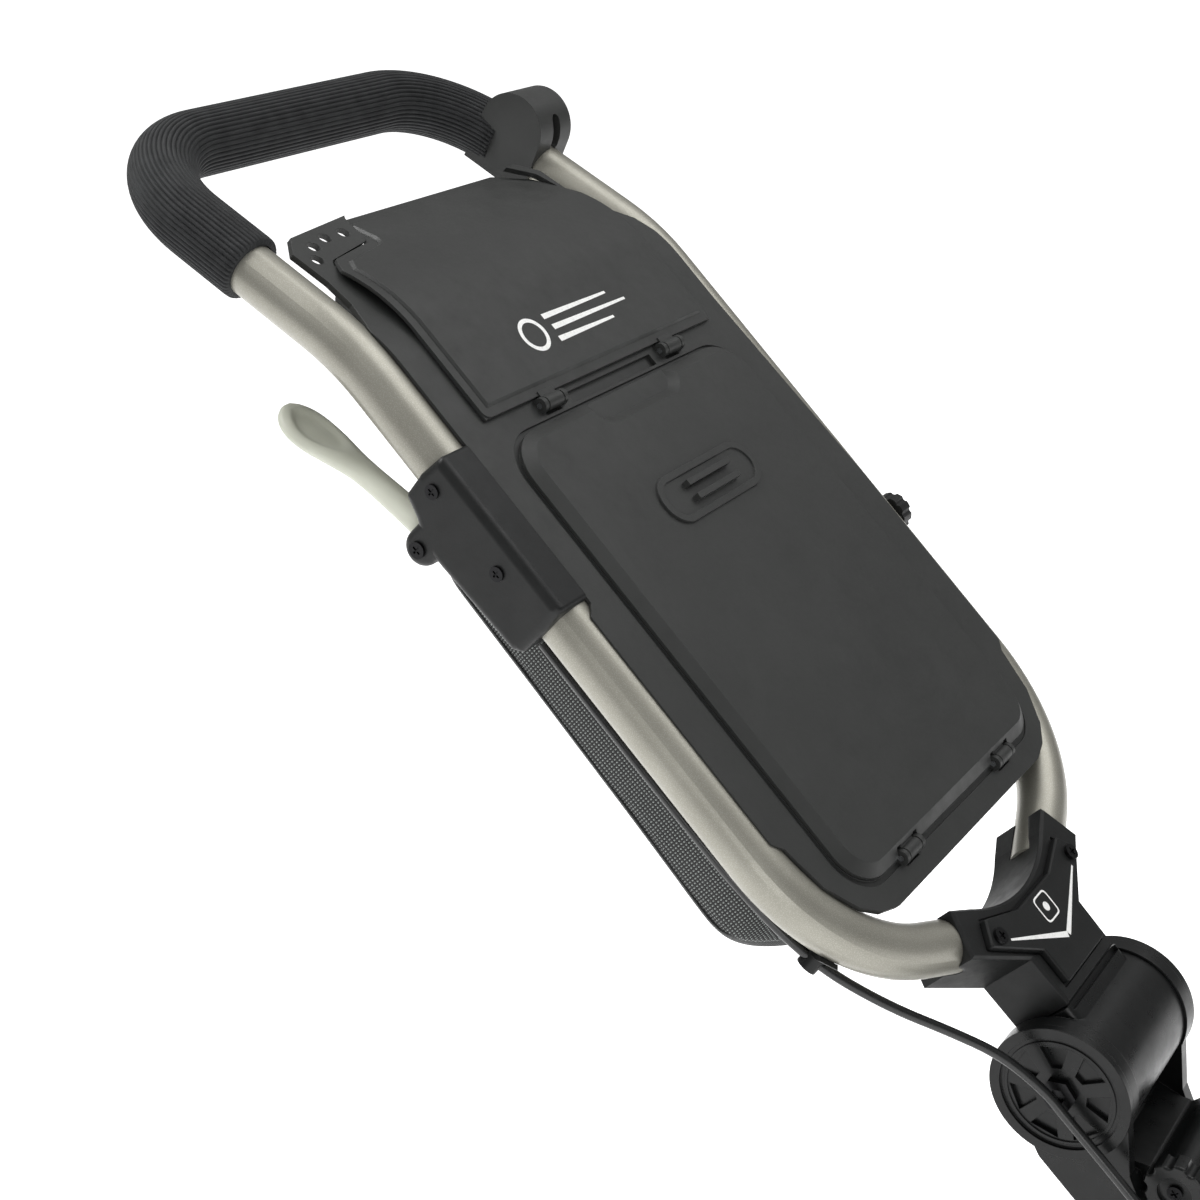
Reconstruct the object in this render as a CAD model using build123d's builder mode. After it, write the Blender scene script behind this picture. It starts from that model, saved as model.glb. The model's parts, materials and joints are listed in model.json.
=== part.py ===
from build123d import *
from math import cos, hypot, radians, sin, tan
import os

os.makedirs("parts", exist_ok=True)

# ---------------------------------------------------------------- driving dimensions, mm and degrees
HANDLE_SLOPE = 43.0      # console and handle tubes below the horizontal
LOOP_SLOPE = 26.5        # the grip loop lies flatter than the console
SPINE_SLOPE = 52.0       # spine tube below the horizontal
HINGE_Y = -345.1         # lid hinge line, from the middle of the whole trolley
HINGE_Z = 930.0          # lid hinge line above the ground
HUB_Q = 437.0            # fold hub, down the handle from the lid hinge line
HUB_N = -26.0            # fold hub, below the console's top plane
RUN_FIT = 0.06           # radial clearance of a turning fit
BODY_GAP = 0.4           # gap between faces of different moving bodies

TUBE_R = 14.0            # handle tube
TUBE_BORE = 12.4
TUBE_X = 140.0           # handle tube centre from the middle
TUBE_N = -14.0
BEND_Q = -72.0           # where the grip loop starts
LOOP_ALONG = 171.0       # grip bar centre, past the bend
LOOP_X = 136.5           # loop corner
LOOP_CORNER_R = 60.0
ELBOW_Q = 308.0          # corner of the lower elbow
ELBOW_R = 97.0
GRIP_R = 18.4
GRIP_START = 71.0        # grip end on the brake side, past the bend
GRIP_STOP = 128.0        # grip end on the umbrella side
KNOB_Q = 147.0           # small knob on the far tube
STUD_R = 3.0             # its stud, which turns in the tube's wall

TRAY_TOP = 1.2           # flange top, just over the tubes
TRAY_PLATE = 3.4
TRAY_DEPTH = 24.0
LID_GAP = 0.4
LID_HALF = 112.5
GROOVE = 2.6

REAR_WHEEL_R = 125.0
FRONT_WHEEL_R = 115.0
TRACK_X = 285.0          # rear wheel middle plane
REAR_AXLE_BACK = 80.0    # rear axle behind the fold hub
FRONT_AXLE_AHEAD = 507.0 # front axle ahead of the fold hub
AXLE_R = 6.0
SPINE_R = 19.0
SPINE_BORE = 17.0
SPINE_M = -8.0           # spine centre line, under the hub's centre

CABLE_R = 2.7

# ---------------------------------------------------------------- the three frames of reference
HANDLE = Plane(
    origin=(0, HINGE_Y, HINGE_Z),
    x_dir=(1, 0, 0),
    z_dir=(0, sin(radians(HANDLE_SLOPE)), cos(radians(HANDLE_SLOPE))),
)
Q_DIR = HANDLE.y_dir
N_DIR = HANDLE.z_dir


def handle_point(x, q, n):
    """A point of the handle: across, down the handle, above the console plane."""
    return HANDLE.from_local_coords(Vector(x, q, n))


def handle_side(x=0.0):
    """Side elevation of the handle at one x: (q, n) with X coming out."""
    return Plane(origin=handle_point(x, 0, 0), x_dir=Q_DIR, z_dir=(1, 0, 0))


def handle_cross(q, x=0.0, n=0.0):
    """Cross-section of the handle, seen up the handle: (x, n)."""
    return Plane(origin=handle_point(x, q, n), x_dir=(1, 0, 0), z_dir=-Q_DIR)


LOOP = Plane(
    origin=handle_point(0, BEND_Q, TUBE_N),
    x_dir=(1, 0, 0),
    z_dir=(0, sin(radians(LOOP_SLOPE)), cos(radians(LOOP_SLOPE))),
)


def loop_point(x, along, up=0.0):
    """A point of the grip loop: across, past the bend, above the tube's centre plane."""
    return LOOP.from_local_coords(Vector(x, -along, up))


def loop_side(x=0.0):
    """Side elevation of the grip loop: (minus along, up) with X coming out."""
    return Plane(origin=loop_point(x, 0), x_dir=LOOP.y_dir, z_dir=(1, 0, 0))


HUB = handle_point(0, HUB_Q, HUB_N)
SPINE = Plane(
    origin=HUB,
    x_dir=(1, 0, 0),
    z_dir=(0, sin(radians(SPINE_SLOPE)), cos(radians(SPINE_SLOPE))),
)
S_DIR = SPINE.y_dir


def spine_point(x, s, m):
    """A point of the spine: across, down from the hub, above the hub's centre."""
    return SPINE.from_local_coords(Vector(x, s, m))


def spine_side(x=0.0):
    """Side elevation of the spine: (s, m) with X coming out."""
    return Plane(origin=spine_point(x, 0, 0), x_dir=S_DIR, z_dir=(1, 0, 0))


def spine_cross(s):
    """Cross-section of the spine, seen up the spine: (x, m)."""
    return Plane(origin=spine_point(0, s, 0), x_dir=(1, 0, 0), z_dir=-S_DIR)


def world_side(x, y, z):
    """Plane across X at a wheel's centre: (Y, Z) with X coming out."""
    return Plane(origin=(x, y, z), x_dir=(0, 1, 0), z_dir=(1, 0, 0))


REAR_AXLE_Y = HUB.Y - REAR_AXLE_BACK
REAR_AXLE_Z = REAR_WHEEL_R
FRONT_AXLE_Y = HUB.Y + FRONT_AXLE_AHEAD
FRONT_AXLE_Z = FRONT_WHEEL_R


# ---------------------------------------------------------------- shapes used more than once
def sweep_round(points, radii, outer, bore=0.0):
    """A round rod or tube along straight runs joined by tangent arcs."""
    with BuildLine() as route:
        FilletPolyline(*points, radius=radii)
    with BuildSketch(Plane(origin=route.line @ 0, z_dir=route.line % 0)) as section:
        Circle(outer)
        if bore:
            Circle(bore, mode=Mode.SUBTRACT)
    sweep(section.sketch, path=route.line)


def bar(start, end, outer, bore=0.0, mode=Mode.ADD):
    """A straight round rod or tube between two points."""
    axis = end - start
    with BuildSketch(Plane(origin=start, z_dir=axis.normalized())) as section:
        Circle(outer)
        if bore:
            Circle(bore, mode=Mode.SUBTRACT)
    extrude(section.sketch, amount=axis.length, mode=mode)


def disc(plane, where, outer, depth, bore=0.0, mode=Mode.ADD):
    """A round disc or ring standing on a plane."""
    with BuildSketch(plane) as section:
        with Locations(where):
            Circle(outer)
            if bore:
                Circle(bore, mode=Mode.SUBTRACT)
    extrude(section.sketch, amount=depth, mode=mode)


def outline(points, plane, depth, rounding=0.0, both=False, mode=Mode.ADD):
    """A plate whose outline is a polygon with equally rounded corners."""
    with BuildSketch(plane) as section:
        with BuildLine():
            Polyline(*points, close=True)
        made = make_face()
        if rounding:
            fillet(made.vertices(), rounding)
    extrude(section.sketch, amount=depth, both=both, mode=mode)


def pan_screw(plane, where, head_r, head_h, shank_r, shank_l):
    """A pan-head screw with a cross recess, its head standing on the plane."""
    with BuildSketch(plane) as head:
        with Locations(where):
            Circle(head_r)
    extrude(head.sketch, amount=head_h)
    with BuildSketch(plane.offset(head_h)) as recess:
        with Locations(where):
            Rectangle(head_r * 1.1, head_r * 0.26)
            Rectangle(head_r * 0.26, head_r * 1.1)
    extrude(recess.sketch, amount=-head_h * 0.6, mode=Mode.SUBTRACT)
    with BuildSketch(plane) as shank:
        with Locations(where):
            Circle(shank_r)
    extrude(shank.sketch, amount=-shank_l)


# ---------------------------------------------------------------- handle tube and grip
TUBE_ROUTE = [
    handle_point(45, 350, TUBE_N),
    handle_point(TUBE_X, ELBOW_Q, TUBE_N),
    handle_point(TUBE_X, BEND_Q, TUBE_N),
    loop_point(LOOP_X, LOOP_ALONG),
    loop_point(-LOOP_X, LOOP_ALONG),
    handle_point(-TUBE_X, BEND_Q, TUBE_N),
    handle_point(-TUBE_X, ELBOW_Q, TUBE_N),
    handle_point(-45, 350, TUBE_N),
]
TUBE_RADII = [ELBOW_R, 150.0, LOOP_CORNER_R, LOOP_CORNER_R, 150.0, ELBOW_R]

with BuildPart() as handle_tube:
    sweep_round(TUBE_ROUTE, TUBE_RADII, TUBE_R, TUBE_BORE)
    bar(handle_point(-TUBE_X - 20, KNOB_Q, TUBE_N), handle_point(-TUBE_X, KNOB_Q, TUBE_N),
        STUD_R + RUN_FIT, mode=Mode.SUBTRACT)
handle_tube.part.label = "handle_tube"
export_step(handle_tube.part, "parts/handle_tube.step")

# a solid rod a little over the tube's size, cut from whatever wraps the tube
with BuildPart() as tube_space:
    sweep_round(TUBE_ROUTE, TUBE_RADII, TUBE_R + 0.15)

GRIP_X = TUBE_X - (TUBE_X - LOOP_X) * GRIP_START / LOOP_ALONG
with BuildPart() as handle_grip:
    sweep_round(
        [
            loop_point(GRIP_X, GRIP_START),
            loop_point(LOOP_X, LOOP_ALONG),
            loop_point(-LOOP_X, LOOP_ALONG),
            loop_point(-GRIP_X, GRIP_START),
        ],
        [LOOP_CORNER_R, LOOP_CORNER_R],
        GRIP_R,
        TUBE_R + 0.15,
    )
    with BuildSketch(LOOP):
        with Locations((-TUBE_X, -GRIP_STOP / 2)):
            Rectangle(90, GRIP_STOP)
    extrude(amount=40, both=True, mode=Mode.SUBTRACT)
handle_grip.part.label = "handle_grip"
export_step(handle_grip.part, "parts/handle_grip.step")

# ---------------------------------------------------------------- yoke between the tube and the hub
YOKE_TOP = 2.0
YOKE_BOTTOM = -34.0
NECK_HALF = 33.0
NECK_END = 404.5
YOKE_ARM = [(62.4, 327.8), (73.1, 352.0), (34.0, 375.4), (NECK_HALF, NECK_END)]

with BuildPart() as yoke_bracket:
    with BuildSketch(HANDLE.offset(YOKE_BOTTOM)):
        with BuildLine():
            ThreePointArc((-46.9, 335.4), (0, 348.0), (46.9, 335.4))
            Polyline((46.9, 335.4), *YOKE_ARM, (-NECK_HALF, NECK_END))
            Polyline(*[(-x, q) for x, q in reversed(YOKE_ARM)], (-46.9, 335.4))
        make_face()
    extrude(amount=YOKE_TOP - YOKE_BOTTOM)
    chamfer(yoke_bracket.faces().sort_by(Axis(HANDLE.origin, N_DIR))[-1].edges(), 1.5)
    # tenon that plugs into the hub barrel
    with BuildSketch(handle_cross(NECK_END, 0, -16)):
        Rectangle(54, 26)
    extrude(amount=-11)
    add(tube_space.part, mode=Mode.SUBTRACT)
    # seat of the cover plate
    with BuildSketch(HANDLE.offset(YOKE_TOP - 1.0)):
        with BuildLine():
            Polyline((-50, 341.5), (-61, 355), (-27, 377), (-27, 398), (27, 398), (27, 377),
                     (61, 355), (50, 341.5), (22, 351), (-22, 351), close=True)
        make_face()
    extrude(amount=4, mode=Mode.SUBTRACT)
    for sign in (-1, 1):
        bar(handle_point(sign * 49.5, 354.2, 2), handle_point(sign * 49.5, 354.2, -0.4), 2.2,
            mode=Mode.SUBTRACT)
yoke_bracket.part.label = "yoke_bracket"
export_step(yoke_bracket.part, "parts/yoke_bracket.step")

COVER_TOP = 5.6
with BuildPart() as yoke_cover:
    outline(
        [(-49.5, 343), (-59.5, 355), (-25.5, 376.5), (-25.5, 396.5), (25.5, 396.5),
         (25.5, 376.5), (59.5, 355), (49.5, 343), (21.5, 352.5), (-21.5, 352.5)],
        HANDLE.offset(YOKE_TOP - 1.0), COVER_TOP - YOKE_TOP + 1.0, 1.5,
    )
    chamfer(yoke_cover.faces().sort_by(Axis(HANDLE.origin, N_DIR))[-1].edges(), 0.8)
    for sign in (-1, 1):
        bar(handle_point(sign * 49.5, 354.2, 9), handle_point(sign * 49.5, 354.2, 0), 2.2,
            mode=Mode.SUBTRACT)
yoke_cover.part.label = "yoke_cover"
export_step(yoke_cover.part, "parts/yoke_cover.step")

with BuildPart() as yoke_screws:
    for sign in (-1, 1):
        pan_screw(HANDLE.offset(COVER_TOP), (sign * 49.5, 354.2), 4.4, 2.0, 2.1, 5.8)
yoke_screws.part.label = "yoke_screws"
export_step(yoke_screws.part, "parts/yoke_screws.step")

# ---------------------------------------------------------------- hub barrel, which turns with the handle
BARREL_R = 36.0
BARREL_HALF = 38.6
HUB_BOLT_R = 6.0
BUSH_R = 8.5
with BuildPart() as hub_barrel:
    disc(handle_side(-BARREL_HALF), (HUB_Q, HUB_N), BARREL_R, 2 * BARREL_HALF)
    with BuildSketch(handle_cross(NECK_END + 0.6, 0, -16)):
        Rectangle(2 * NECK_HALF + 8, 50)
    extrude(amount=20, mode=Mode.SUBTRACT)
    # collar that takes the yoke's tenon
    with BuildSketch(handle_cross(NECK_END + 0.6, 0, -16.5)):
        RectangleRounded(72, 38, 5)
    extrude(amount=-(HUB_Q - NECK_END - 0.6))
    with BuildSketch(handle_cross(NECK_END + 0.6, 0, -16)):
        Rectangle(54.3, 26.3)
    extrude(amount=-12, mode=Mode.SUBTRACT)
    # slot moulded across the collar behind the yoke
    with BuildSketch(handle_cross(NECK_END + 0.6, 0, 1.0)):
        Rectangle(66, 3.4)
    extrude(amount=-3.0, mode=Mode.SUBTRACT)
    disc(handle_side(-BARREL_HALF), (HUB_Q, HUB_N), BUSH_R, 2 * BARREL_HALF, mode=Mode.SUBTRACT)
hub_barrel.part.label = "hub_barrel"
export_step(hub_barrel.part, "parts/hub_barrel.step")

with BuildPart() as hub_bushes:
    for start in (-BARREL_HALF, BARREL_HALF - 12):
        disc(handle_side(start), (HUB_Q, HUB_N), BUSH_R, 12, HUB_BOLT_R + RUN_FIT)
hub_bushes.part.label = "hub_bushes"
export_step(hub_bushes.part, "parts/hub_bushes.step")

# ---------------------------------------------------------------- console tray
UPPER_POCKET = (-112.0, -14.0)   # from and to, down the handle
LOWER_POCKET = (18.0, 285.0)
POCKET_HALF = 102.0
WALL = 2.6
TRAY_OUTLINE = [
    (92, 308), (106, 304), (118, 295), (130, 276), (135.5, 250), (141, 244), (141, 106),
    (134.5, 100), (134.5, -16), (134.5, -72), (125.5, -92), (122.5, -110), (122.5, -134), (112, -145),
    (58, -150), (-98, -150), (-110, -140), (-112, -100), (-124, -94), (-132, -84),
    (-134.5, -70), (-134.5, -16), (-141, 118), (-141, 244), (-135.5, 250), (-130, 276),
    (-118, 295), (-106, 304), (-92, 308),
]
SKIRT_MID = 172.0
SKIRT_LEN = 132.0
TRAY_SCREW_Q = (135, 225)
TEE_HOLES = [(77, -138.5), (92, -138.5), (105, -135), (112.5, -126)]
BOW_START = -50.0                # where the tray's top starts to fall away


def bowed_band(top, thick, start_q, bow_q, bow_r, bow_angle, tail):
    """Side profile of a plate that is flat and then bows down at its upper end."""
    with BuildSketch() as profile:
        with BuildLine():
            flat = Line((start_q, top), (bow_q, top))
            bend = JernArc(flat @ 1, (-1, 0), bow_r, bow_angle)
            out = Line(bend @ 1, bend @ 1 + (bend % 1) * tail)
            end = Line(out @ 1, out @ 1 + (bend % 1).rotate(Axis.Z, 90) * thick)
            back = Line(end @ 1, end @ 1 - (bend % 1) * tail)
            JernArc(back @ 1, (bend % 1) * -1, bow_r - thick, -bow_angle)
            base = Line((bow_q, top - thick), (start_q, top - thick))
            Line(base @ 1, flat @ 0)
        make_face()
    return profile.sketch


# the bowed end of the upper lid sinks between the wings of the tray
UPPER_LID_OUTLINE = [
    (-112.5, -5), (112.5, -5), (113, -112), (104, -122), (68, -128), (64, -148), (56, -152),
    (-84, -152), (-103, -138), (-110, -112),
]
LID_BOW_Q = -62.0
LID_BOW_R = 105.0
LID_BOW = 33.0
LID_TOP = 5.6
LID_PLATE = 3.4
with BuildPart() as lid_space:
    with BuildSketch(handle_side()):
        add(bowed_band(LID_TOP + 6, LID_PLATE + 6.4, -55, LID_BOW_Q, LID_BOW_R + 6, LID_BOW, 70))
    extrude(amount=120, both=True)
    with BuildSketch(HANDLE.offset(-80)):
        with BuildLine():
            Polyline(*UPPER_LID_OUTLINE, close=True)
        lid_plan = make_face()
        fillet(lid_plan.vertices(), 5.0)
        offset(amount=0.8)
    extrude(amount=160, mode=Mode.INTERSECT)

TRAY_BAND = bowed_band(TRAY_TOP, TRAY_PLATE, 308.5, BOW_START, 90.0, 16.5, 90.0)
with BuildPart() as console_tray:
    with BuildSketch(handle_side()):
        add(TRAY_BAND)
    extrude(amount=150, both=True)
    outline(TRAY_OUTLINE, HANDLE.offset(-80), 160, mode=Mode.INTERSECT)
    # compartment shells under the flange
    lower_mid = sum(LOWER_POCKET) / 2
    lower_len = LOWER_POCKET[1] - LOWER_POCKET[0]
    with BuildSketch(HANDLE.offset(-TRAY_DEPTH)):
        with Locations((0, lower_mid)):
            RectangleRounded(2 * (POCKET_HALF + WALL), lower_len + 2 * WALL, 24)
    extrude(amount=TRAY_DEPTH)
    upper_mid = sum(UPPER_POCKET) / 2
    upper_len = UPPER_POCKET[1] - UPPER_POCKET[0]
    with BuildSketch(HANDLE.offset(-TRAY_DEPTH - 10)):
        with Locations((0, upper_mid)):
            RectangleRounded(2 * (POCKET_HALF + WALL), upper_len + 2 * WALL, 14)
    extrude(amount=TRAY_DEPTH + 10)
    # nothing stands above the tray's own curved top
    with BuildSketch(handle_side()):
        add(bowed_band(TRAY_TOP + 40, 40, 308.5, BOW_START, 130.0, 16.5, 90.0))
    extrude(amount=150, both=True, mode=Mode.SUBTRACT)
    # skirts down the inner side of both tubes
    for sign in (-1, 1):
        with BuildSketch(HANDLE.offset(-TRAY_DEPTH)):
            with Locations((sign * 123.0, SKIRT_MID)):
                Rectangle(WALL, SKIRT_LEN)
        extrude(amount=TRAY_DEPTH)
        for q in TRAY_SCREW_Q:
            bar(handle_point(sign * 118, q, TUBE_N), handle_point(sign * 126, q, TUBE_N), 1.9,
                mode=Mode.SUBTRACT)
    with BuildSketch(HANDLE.offset(-TRAY_DEPTH + WALL)):
        with Locations((0, lower_mid)):
            RectangleRounded(2 * POCKET_HALF, lower_len, 22)
    extrude(amount=60, mode=Mode.SUBTRACT)
    with BuildSketch(HANDLE.offset(-TRAY_DEPTH - 10 + WALL)):
        with Locations((0, upper_mid)):
            RectangleRounded(2 * POCKET_HALF, upper_len, 12)
    extrude(amount=60, mode=Mode.SUBTRACT)
    # groove round the lower lid
    with BuildSketch(HANDLE.offset(TRAY_TOP - 1.2)):
        with Locations((0, 151)):
            RectangleRounded(2 * (LID_HALF + GROOVE), 282 + 2 * GROOVE, 26)
            RectangleRounded(2 * LID_HALF, 282, 24, mode=Mode.SUBTRACT)
    extrude(amount=4, mode=Mode.SUBTRACT)
    # slots for the hinge knuckles of both lids
    for q in (0.0, 292.0):
        with BuildSketch(HANDLE.offset(-4.0)):
            with Locations((-60, q), (60, q)):
                Rectangle(18, 14)
        extrude(amount=2.4)
        with BuildSketch(HANDLE.offset(-1.6)):
            with Locations((-60, q), (60, q)):
                Rectangle(14, 11)
        extrude(amount=12, mode=Mode.SUBTRACT)
    # long slot behind the upper lid's edge
    with BuildSketch(HANDLE.offset(-1.4)):
        with Locations((0, 2.0)):
            Rectangle(84, 7)
    extrude(amount=12, mode=Mode.SUBTRACT)
    # hinge eyes each side of the knuckle slots
    for q in (0.0, 292.0):
        for x in (-60, 60):
            for step in (-10.5, 7.5):
                disc(handle_side(x + step), (q, 3.3), 4.2, 3.0, 1.7)
                with BuildSketch(handle_side(x + step)):
                    with Locations((q, 0.2)):
                        Rectangle(8.4, 5.4)
                    with Locations((q, 3.3)):
                        Circle(1.7, mode=Mode.SUBTRACT)
                extrude(amount=3.0)
                disc(handle_side(x + step), (q, 3.3), 1.7, 3.0, mode=Mode.SUBTRACT)
    with BuildSketch(HANDLE.offset(-60)):
        with Locations(*TEE_HOLES):
            Circle(3.6)
    extrude(amount=80, mode=Mode.SUBTRACT)
    add(tube_space.part, mode=Mode.SUBTRACT)
    add(lid_space.part, mode=Mode.SUBTRACT)
console_tray.part.label = "console_tray"
export_step(console_tray.part, "parts/console_tray.step")

with BuildPart() as tray_screws:
    for sign in (-1, 1):
        for q in TRAY_SCREW_Q:
            face = Plane(origin=handle_point(sign * 121.6, q, TUBE_N), z_dir=(-sign, 0, 0))
            pan_screw(face, (0, 0), 3.6, 1.8, 1.7, 4.2)
tray_screws.part.label = "tray_screws"
export_step(tray_screws.part, "parts/tray_screws.step")

# ---------------------------------------------------------------- lids, their pins and the card clip
PIN_R = 1.6
EYE_N = 3.3
KNUCKLE_HALF = 6.6


def lid_knuckles(q, mode=Mode.ADD):
    """The two rolled eyes of a lid, which turn on its pins."""
    for x in (-60, 60):
        disc(handle_side(x - KNUCKLE_HALF), (q, EYE_N), 4.2, 2 * KNUCKLE_HALF, mode=mode)


LID_PANEL_RISE = 1.5
LID_BORDER = 5.5
with BuildPart() as lid_panel:
    with BuildSketch(handle_side()):
        add(bowed_band(LID_TOP, LID_PANEL_RISE + 0.4, -9.0, LID_BOW_Q, LID_BOW_R, LID_BOW, 60.0))
    extrude(amount=120, both=True)
    with BuildSketch(HANDLE.offset(-80)):
        with BuildLine():
            Polyline(*UPPER_LID_OUTLINE, close=True)
        panel_plan = make_face()
        fillet(panel_plan.vertices(), 5.0)
        offset(amount=-LID_BORDER, kind=Kind.INTERSECTION)
    extrude(amount=160, mode=Mode.INTERSECT)
    top_faces = [face for face in lid_panel.faces() if face.area > 1500 and face.normal_at().dot(N_DIR) > 0.3]
    top_edges = [edge for face in top_faces for edge in face.edges()]
    chamfer([edge for edge in top_edges if sum(edge.is_same(other) for other in top_edges) == 1], 1.3)

with BuildPart() as upper_lid:
    with BuildSketch(handle_side()):
        add(bowed_band(LID_TOP - LID_PANEL_RISE, LID_PLATE - LID_PANEL_RISE, 0.0, LID_BOW_Q,
                       LID_BOW_R - LID_PANEL_RISE, LID_BOW, 60.0))
    extrude(amount=120, both=True)
    outline(UPPER_LID_OUTLINE, HANDLE.offset(-80), 160, 5.0, mode=Mode.INTERSECT)
    add(lid_panel.part)
    # rim that drops from the plate to the tray
    with BuildSketch(handle_side()):
        with BuildLine():
            Polyline((-5, 3.2), (-62, 3.2), (-62, TRAY_TOP + LID_GAP), (-5, TRAY_TOP + LID_GAP), close=True)
        make_face()
    extrude(amount=LID_HALF, both=True)
    with BuildSketch(handle_side()):
        with BuildLine():
            Polyline((-9, 2.2), (-63, 2.2), (-63, 0), (-9, 0), close=True)
        make_face()
    extrude(amount=LID_HALF - 5, both=True, mode=Mode.SUBTRACT)
    for x in (-60, 60):
        with BuildSketch(handle_side(x - KNUCKLE_HALF)):
            with Locations((-3.5, EYE_N)):
                Rectangle(7, 3.4)
        extrude(amount=2 * KNUCKLE_HALF)
    lid_knuckles(0.0)
    for x in (-60, 60):
        disc(handle_side(x - KNUCKLE_HALF), (0.0, EYE_N), PIN_R + RUN_FIT, 2 * KNUCKLE_HALF,
             mode=Mode.SUBTRACT)
upper_lid.part.label = "upper_lid"
export_step(upper_lid.part, "parts/upper_lid.step")

LOWER_LID_TOP = 7.6
LOWER_LID_MID = 150.5
LOWER_LID_LEN = 281.0
SCOOP_FLOOR = 3.6
with BuildPart() as lower_lid:
    with BuildSketch(HANDLE.offset(TRAY_TOP + LID_GAP)):
        with Locations((0, LOWER_LID_MID)):
            RectangleRounded(2 * LID_HALF, LOWER_LID_LEN, 24)
    extrude(amount=LOWER_LID_TOP - TRAY_TOP - LID_GAP)
    chamfer(lower_lid.faces().sort_by(Axis(HANDLE.origin, N_DIR))[-1].edges(), 4.2, 6.4)
    # finger scoop, open at the upper edge, with sloping sides
    with BuildSketch(HANDLE.offset(SCOOP_FLOOR)) as scoop:
        with Locations((0, 6)):
            RectangleRounded(76, 32, 10)
    extrude(scoop.sketch, amount=9, taper=-52, mode=Mode.SUBTRACT)
    with BuildSketch(HANDLE.offset(0)):
        with Locations((0, LOWER_LID_MID)):
            RectangleRounded(2 * (LID_HALF - 9), LOWER_LID_LEN - 40, 18)
    extrude(amount=4.6, mode=Mode.SUBTRACT)
    for x in (-60, 60):
        with BuildSketch(handle_side(x - KNUCKLE_HALF - 1)):
            with Locations((292, 3)):
                Rectangle(10, 12)
        extrude(amount=2 * KNUCKLE_HALF + 2, mode=Mode.SUBTRACT)
        for step in (-11.5, 7.2):
            with BuildSketch(handle_side(x + step)):
                with Locations((292, 3.5)):
                    Rectangle(11.2, 16)
            extrude(amount=4.3, mode=Mode.SUBTRACT)
        with BuildSketch(handle_side(x - KNUCKLE_HALF)):
            with Locations((288, EYE_N)):
                Rectangle(10, 3.2)
        extrude(amount=2 * KNUCKLE_HALF)
    lid_knuckles(292.0)
    for x in (-60, 60):
        disc(handle_side(x - KNUCKLE_HALF), (292.0, EYE_N), PIN_R + RUN_FIT, 2 * KNUCKLE_HALF,
             mode=Mode.SUBTRACT)
lower_lid.part.label = "lower_lid"
export_step(lower_lid.part, "parts/lower_lid.step")

for name, q in (("upper_lid_pins", 0.0), ("lower_lid_pins", 292.0)):
    with BuildPart() as lid_pins:
        for x in (-60, 60):
            disc(handle_side(x - 10.5), (q, EYE_N), PIN_R, 21)
    lid_pins.part.label = name
    export_step(lid_pins.part, f"parts/{name}.step")

CLIP_Q = 79.0
with BuildPart() as card_clip:
    with BuildSketch(HANDLE.offset(LOWER_LID_TOP)):
        with Locations((0, CLIP_Q)):
            SlotOverall(94, 29)
    extrude(amount=1.6)
    with BuildSketch(HANDLE.offset(LOWER_LID_TOP + 0.6)):
        with Locations((0, CLIP_Q)):
            SlotOverall(86, 21)
    extrude(amount=2, mode=Mode.SUBTRACT)
    for dq in (-4.5, 4.5):
        with BuildSketch(handle_side(-22)):
            with Locations((CLIP_Q + dq, LOWER_LID_TOP + 2.6)):
                Rectangle(3.4, 4.4)
        extrude(amount=44)
card_clip.part.label = "card_clip"
export_step(card_clip.part, "parts/card_clip.step")

# ---------------------------------------------------------------- umbrella mount on the far tube
MOUNT_X = -155.5
MOUNT_W = 33.0
MOUNT_ALONG = 102.5
with BuildPart() as umbrella_mount:
    with BuildSketch(loop_side(MOUNT_X)):
        with BuildLine():
            base = Polyline((-MOUNT_ALONG + 22, 17), (-MOUNT_ALONG + 23, -16),
                            (-MOUNT_ALONG - 23, -16), (-MOUNT_ALONG - 22, 17))
            ThreePointArc(base @ 0, (-MOUNT_ALONG, 38), base @ 1)
        make_face()
    extrude(amount=MOUNT_W)
    # arc grooves in both sides, and the slot that takes the umbrella's tongue
    for face, inwards in ((MOUNT_X, 1), (MOUNT_X + MOUNT_W, -1)):
        with BuildSketch(loop_side(face)):
            SlotArc(CenterArc((-MOUNT_ALONG, 15), 15.0, 35, 75), 5.0)
        extrude(amount=5.0 * inwards, mode=Mode.SUBTRACT)
    with BuildSketch(Plane(origin=loop_point(-140, MOUNT_ALONG - 23, 25), x_dir=(1, 0, 0), z_dir=LOOP.y_dir)):
        with Locations((0, 2)):
            SlotOverall(20, 7.5, rotation=90)
    extrude(amount=-52, both=False, mode=Mode.SUBTRACT)
    add(tube_space.part, mode=Mode.SUBTRACT)
umbrella_mount.part.label = "umbrella_mount"
export_step(umbrella_mount.part, "parts/umbrella_mount.step")

# ---------------------------------------------------------------- brake housing and lever
PIVOT_Q = 26.0
PIVOT_N = -43.0
LEVER_X = 143.0
HOUSING_OUT = 160.0
HOUSING_IN = 121.0
HOUSING_SPLIT = 136.4
HOUSING_PROFILE = [
    (2, -29), (0.5, -14), (2, 3.5), (97, 3.5), (98.5, -14), (98.5, -33), (94, -37), (40, -40),
    (26, -40), (14, -33),
]


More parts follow.
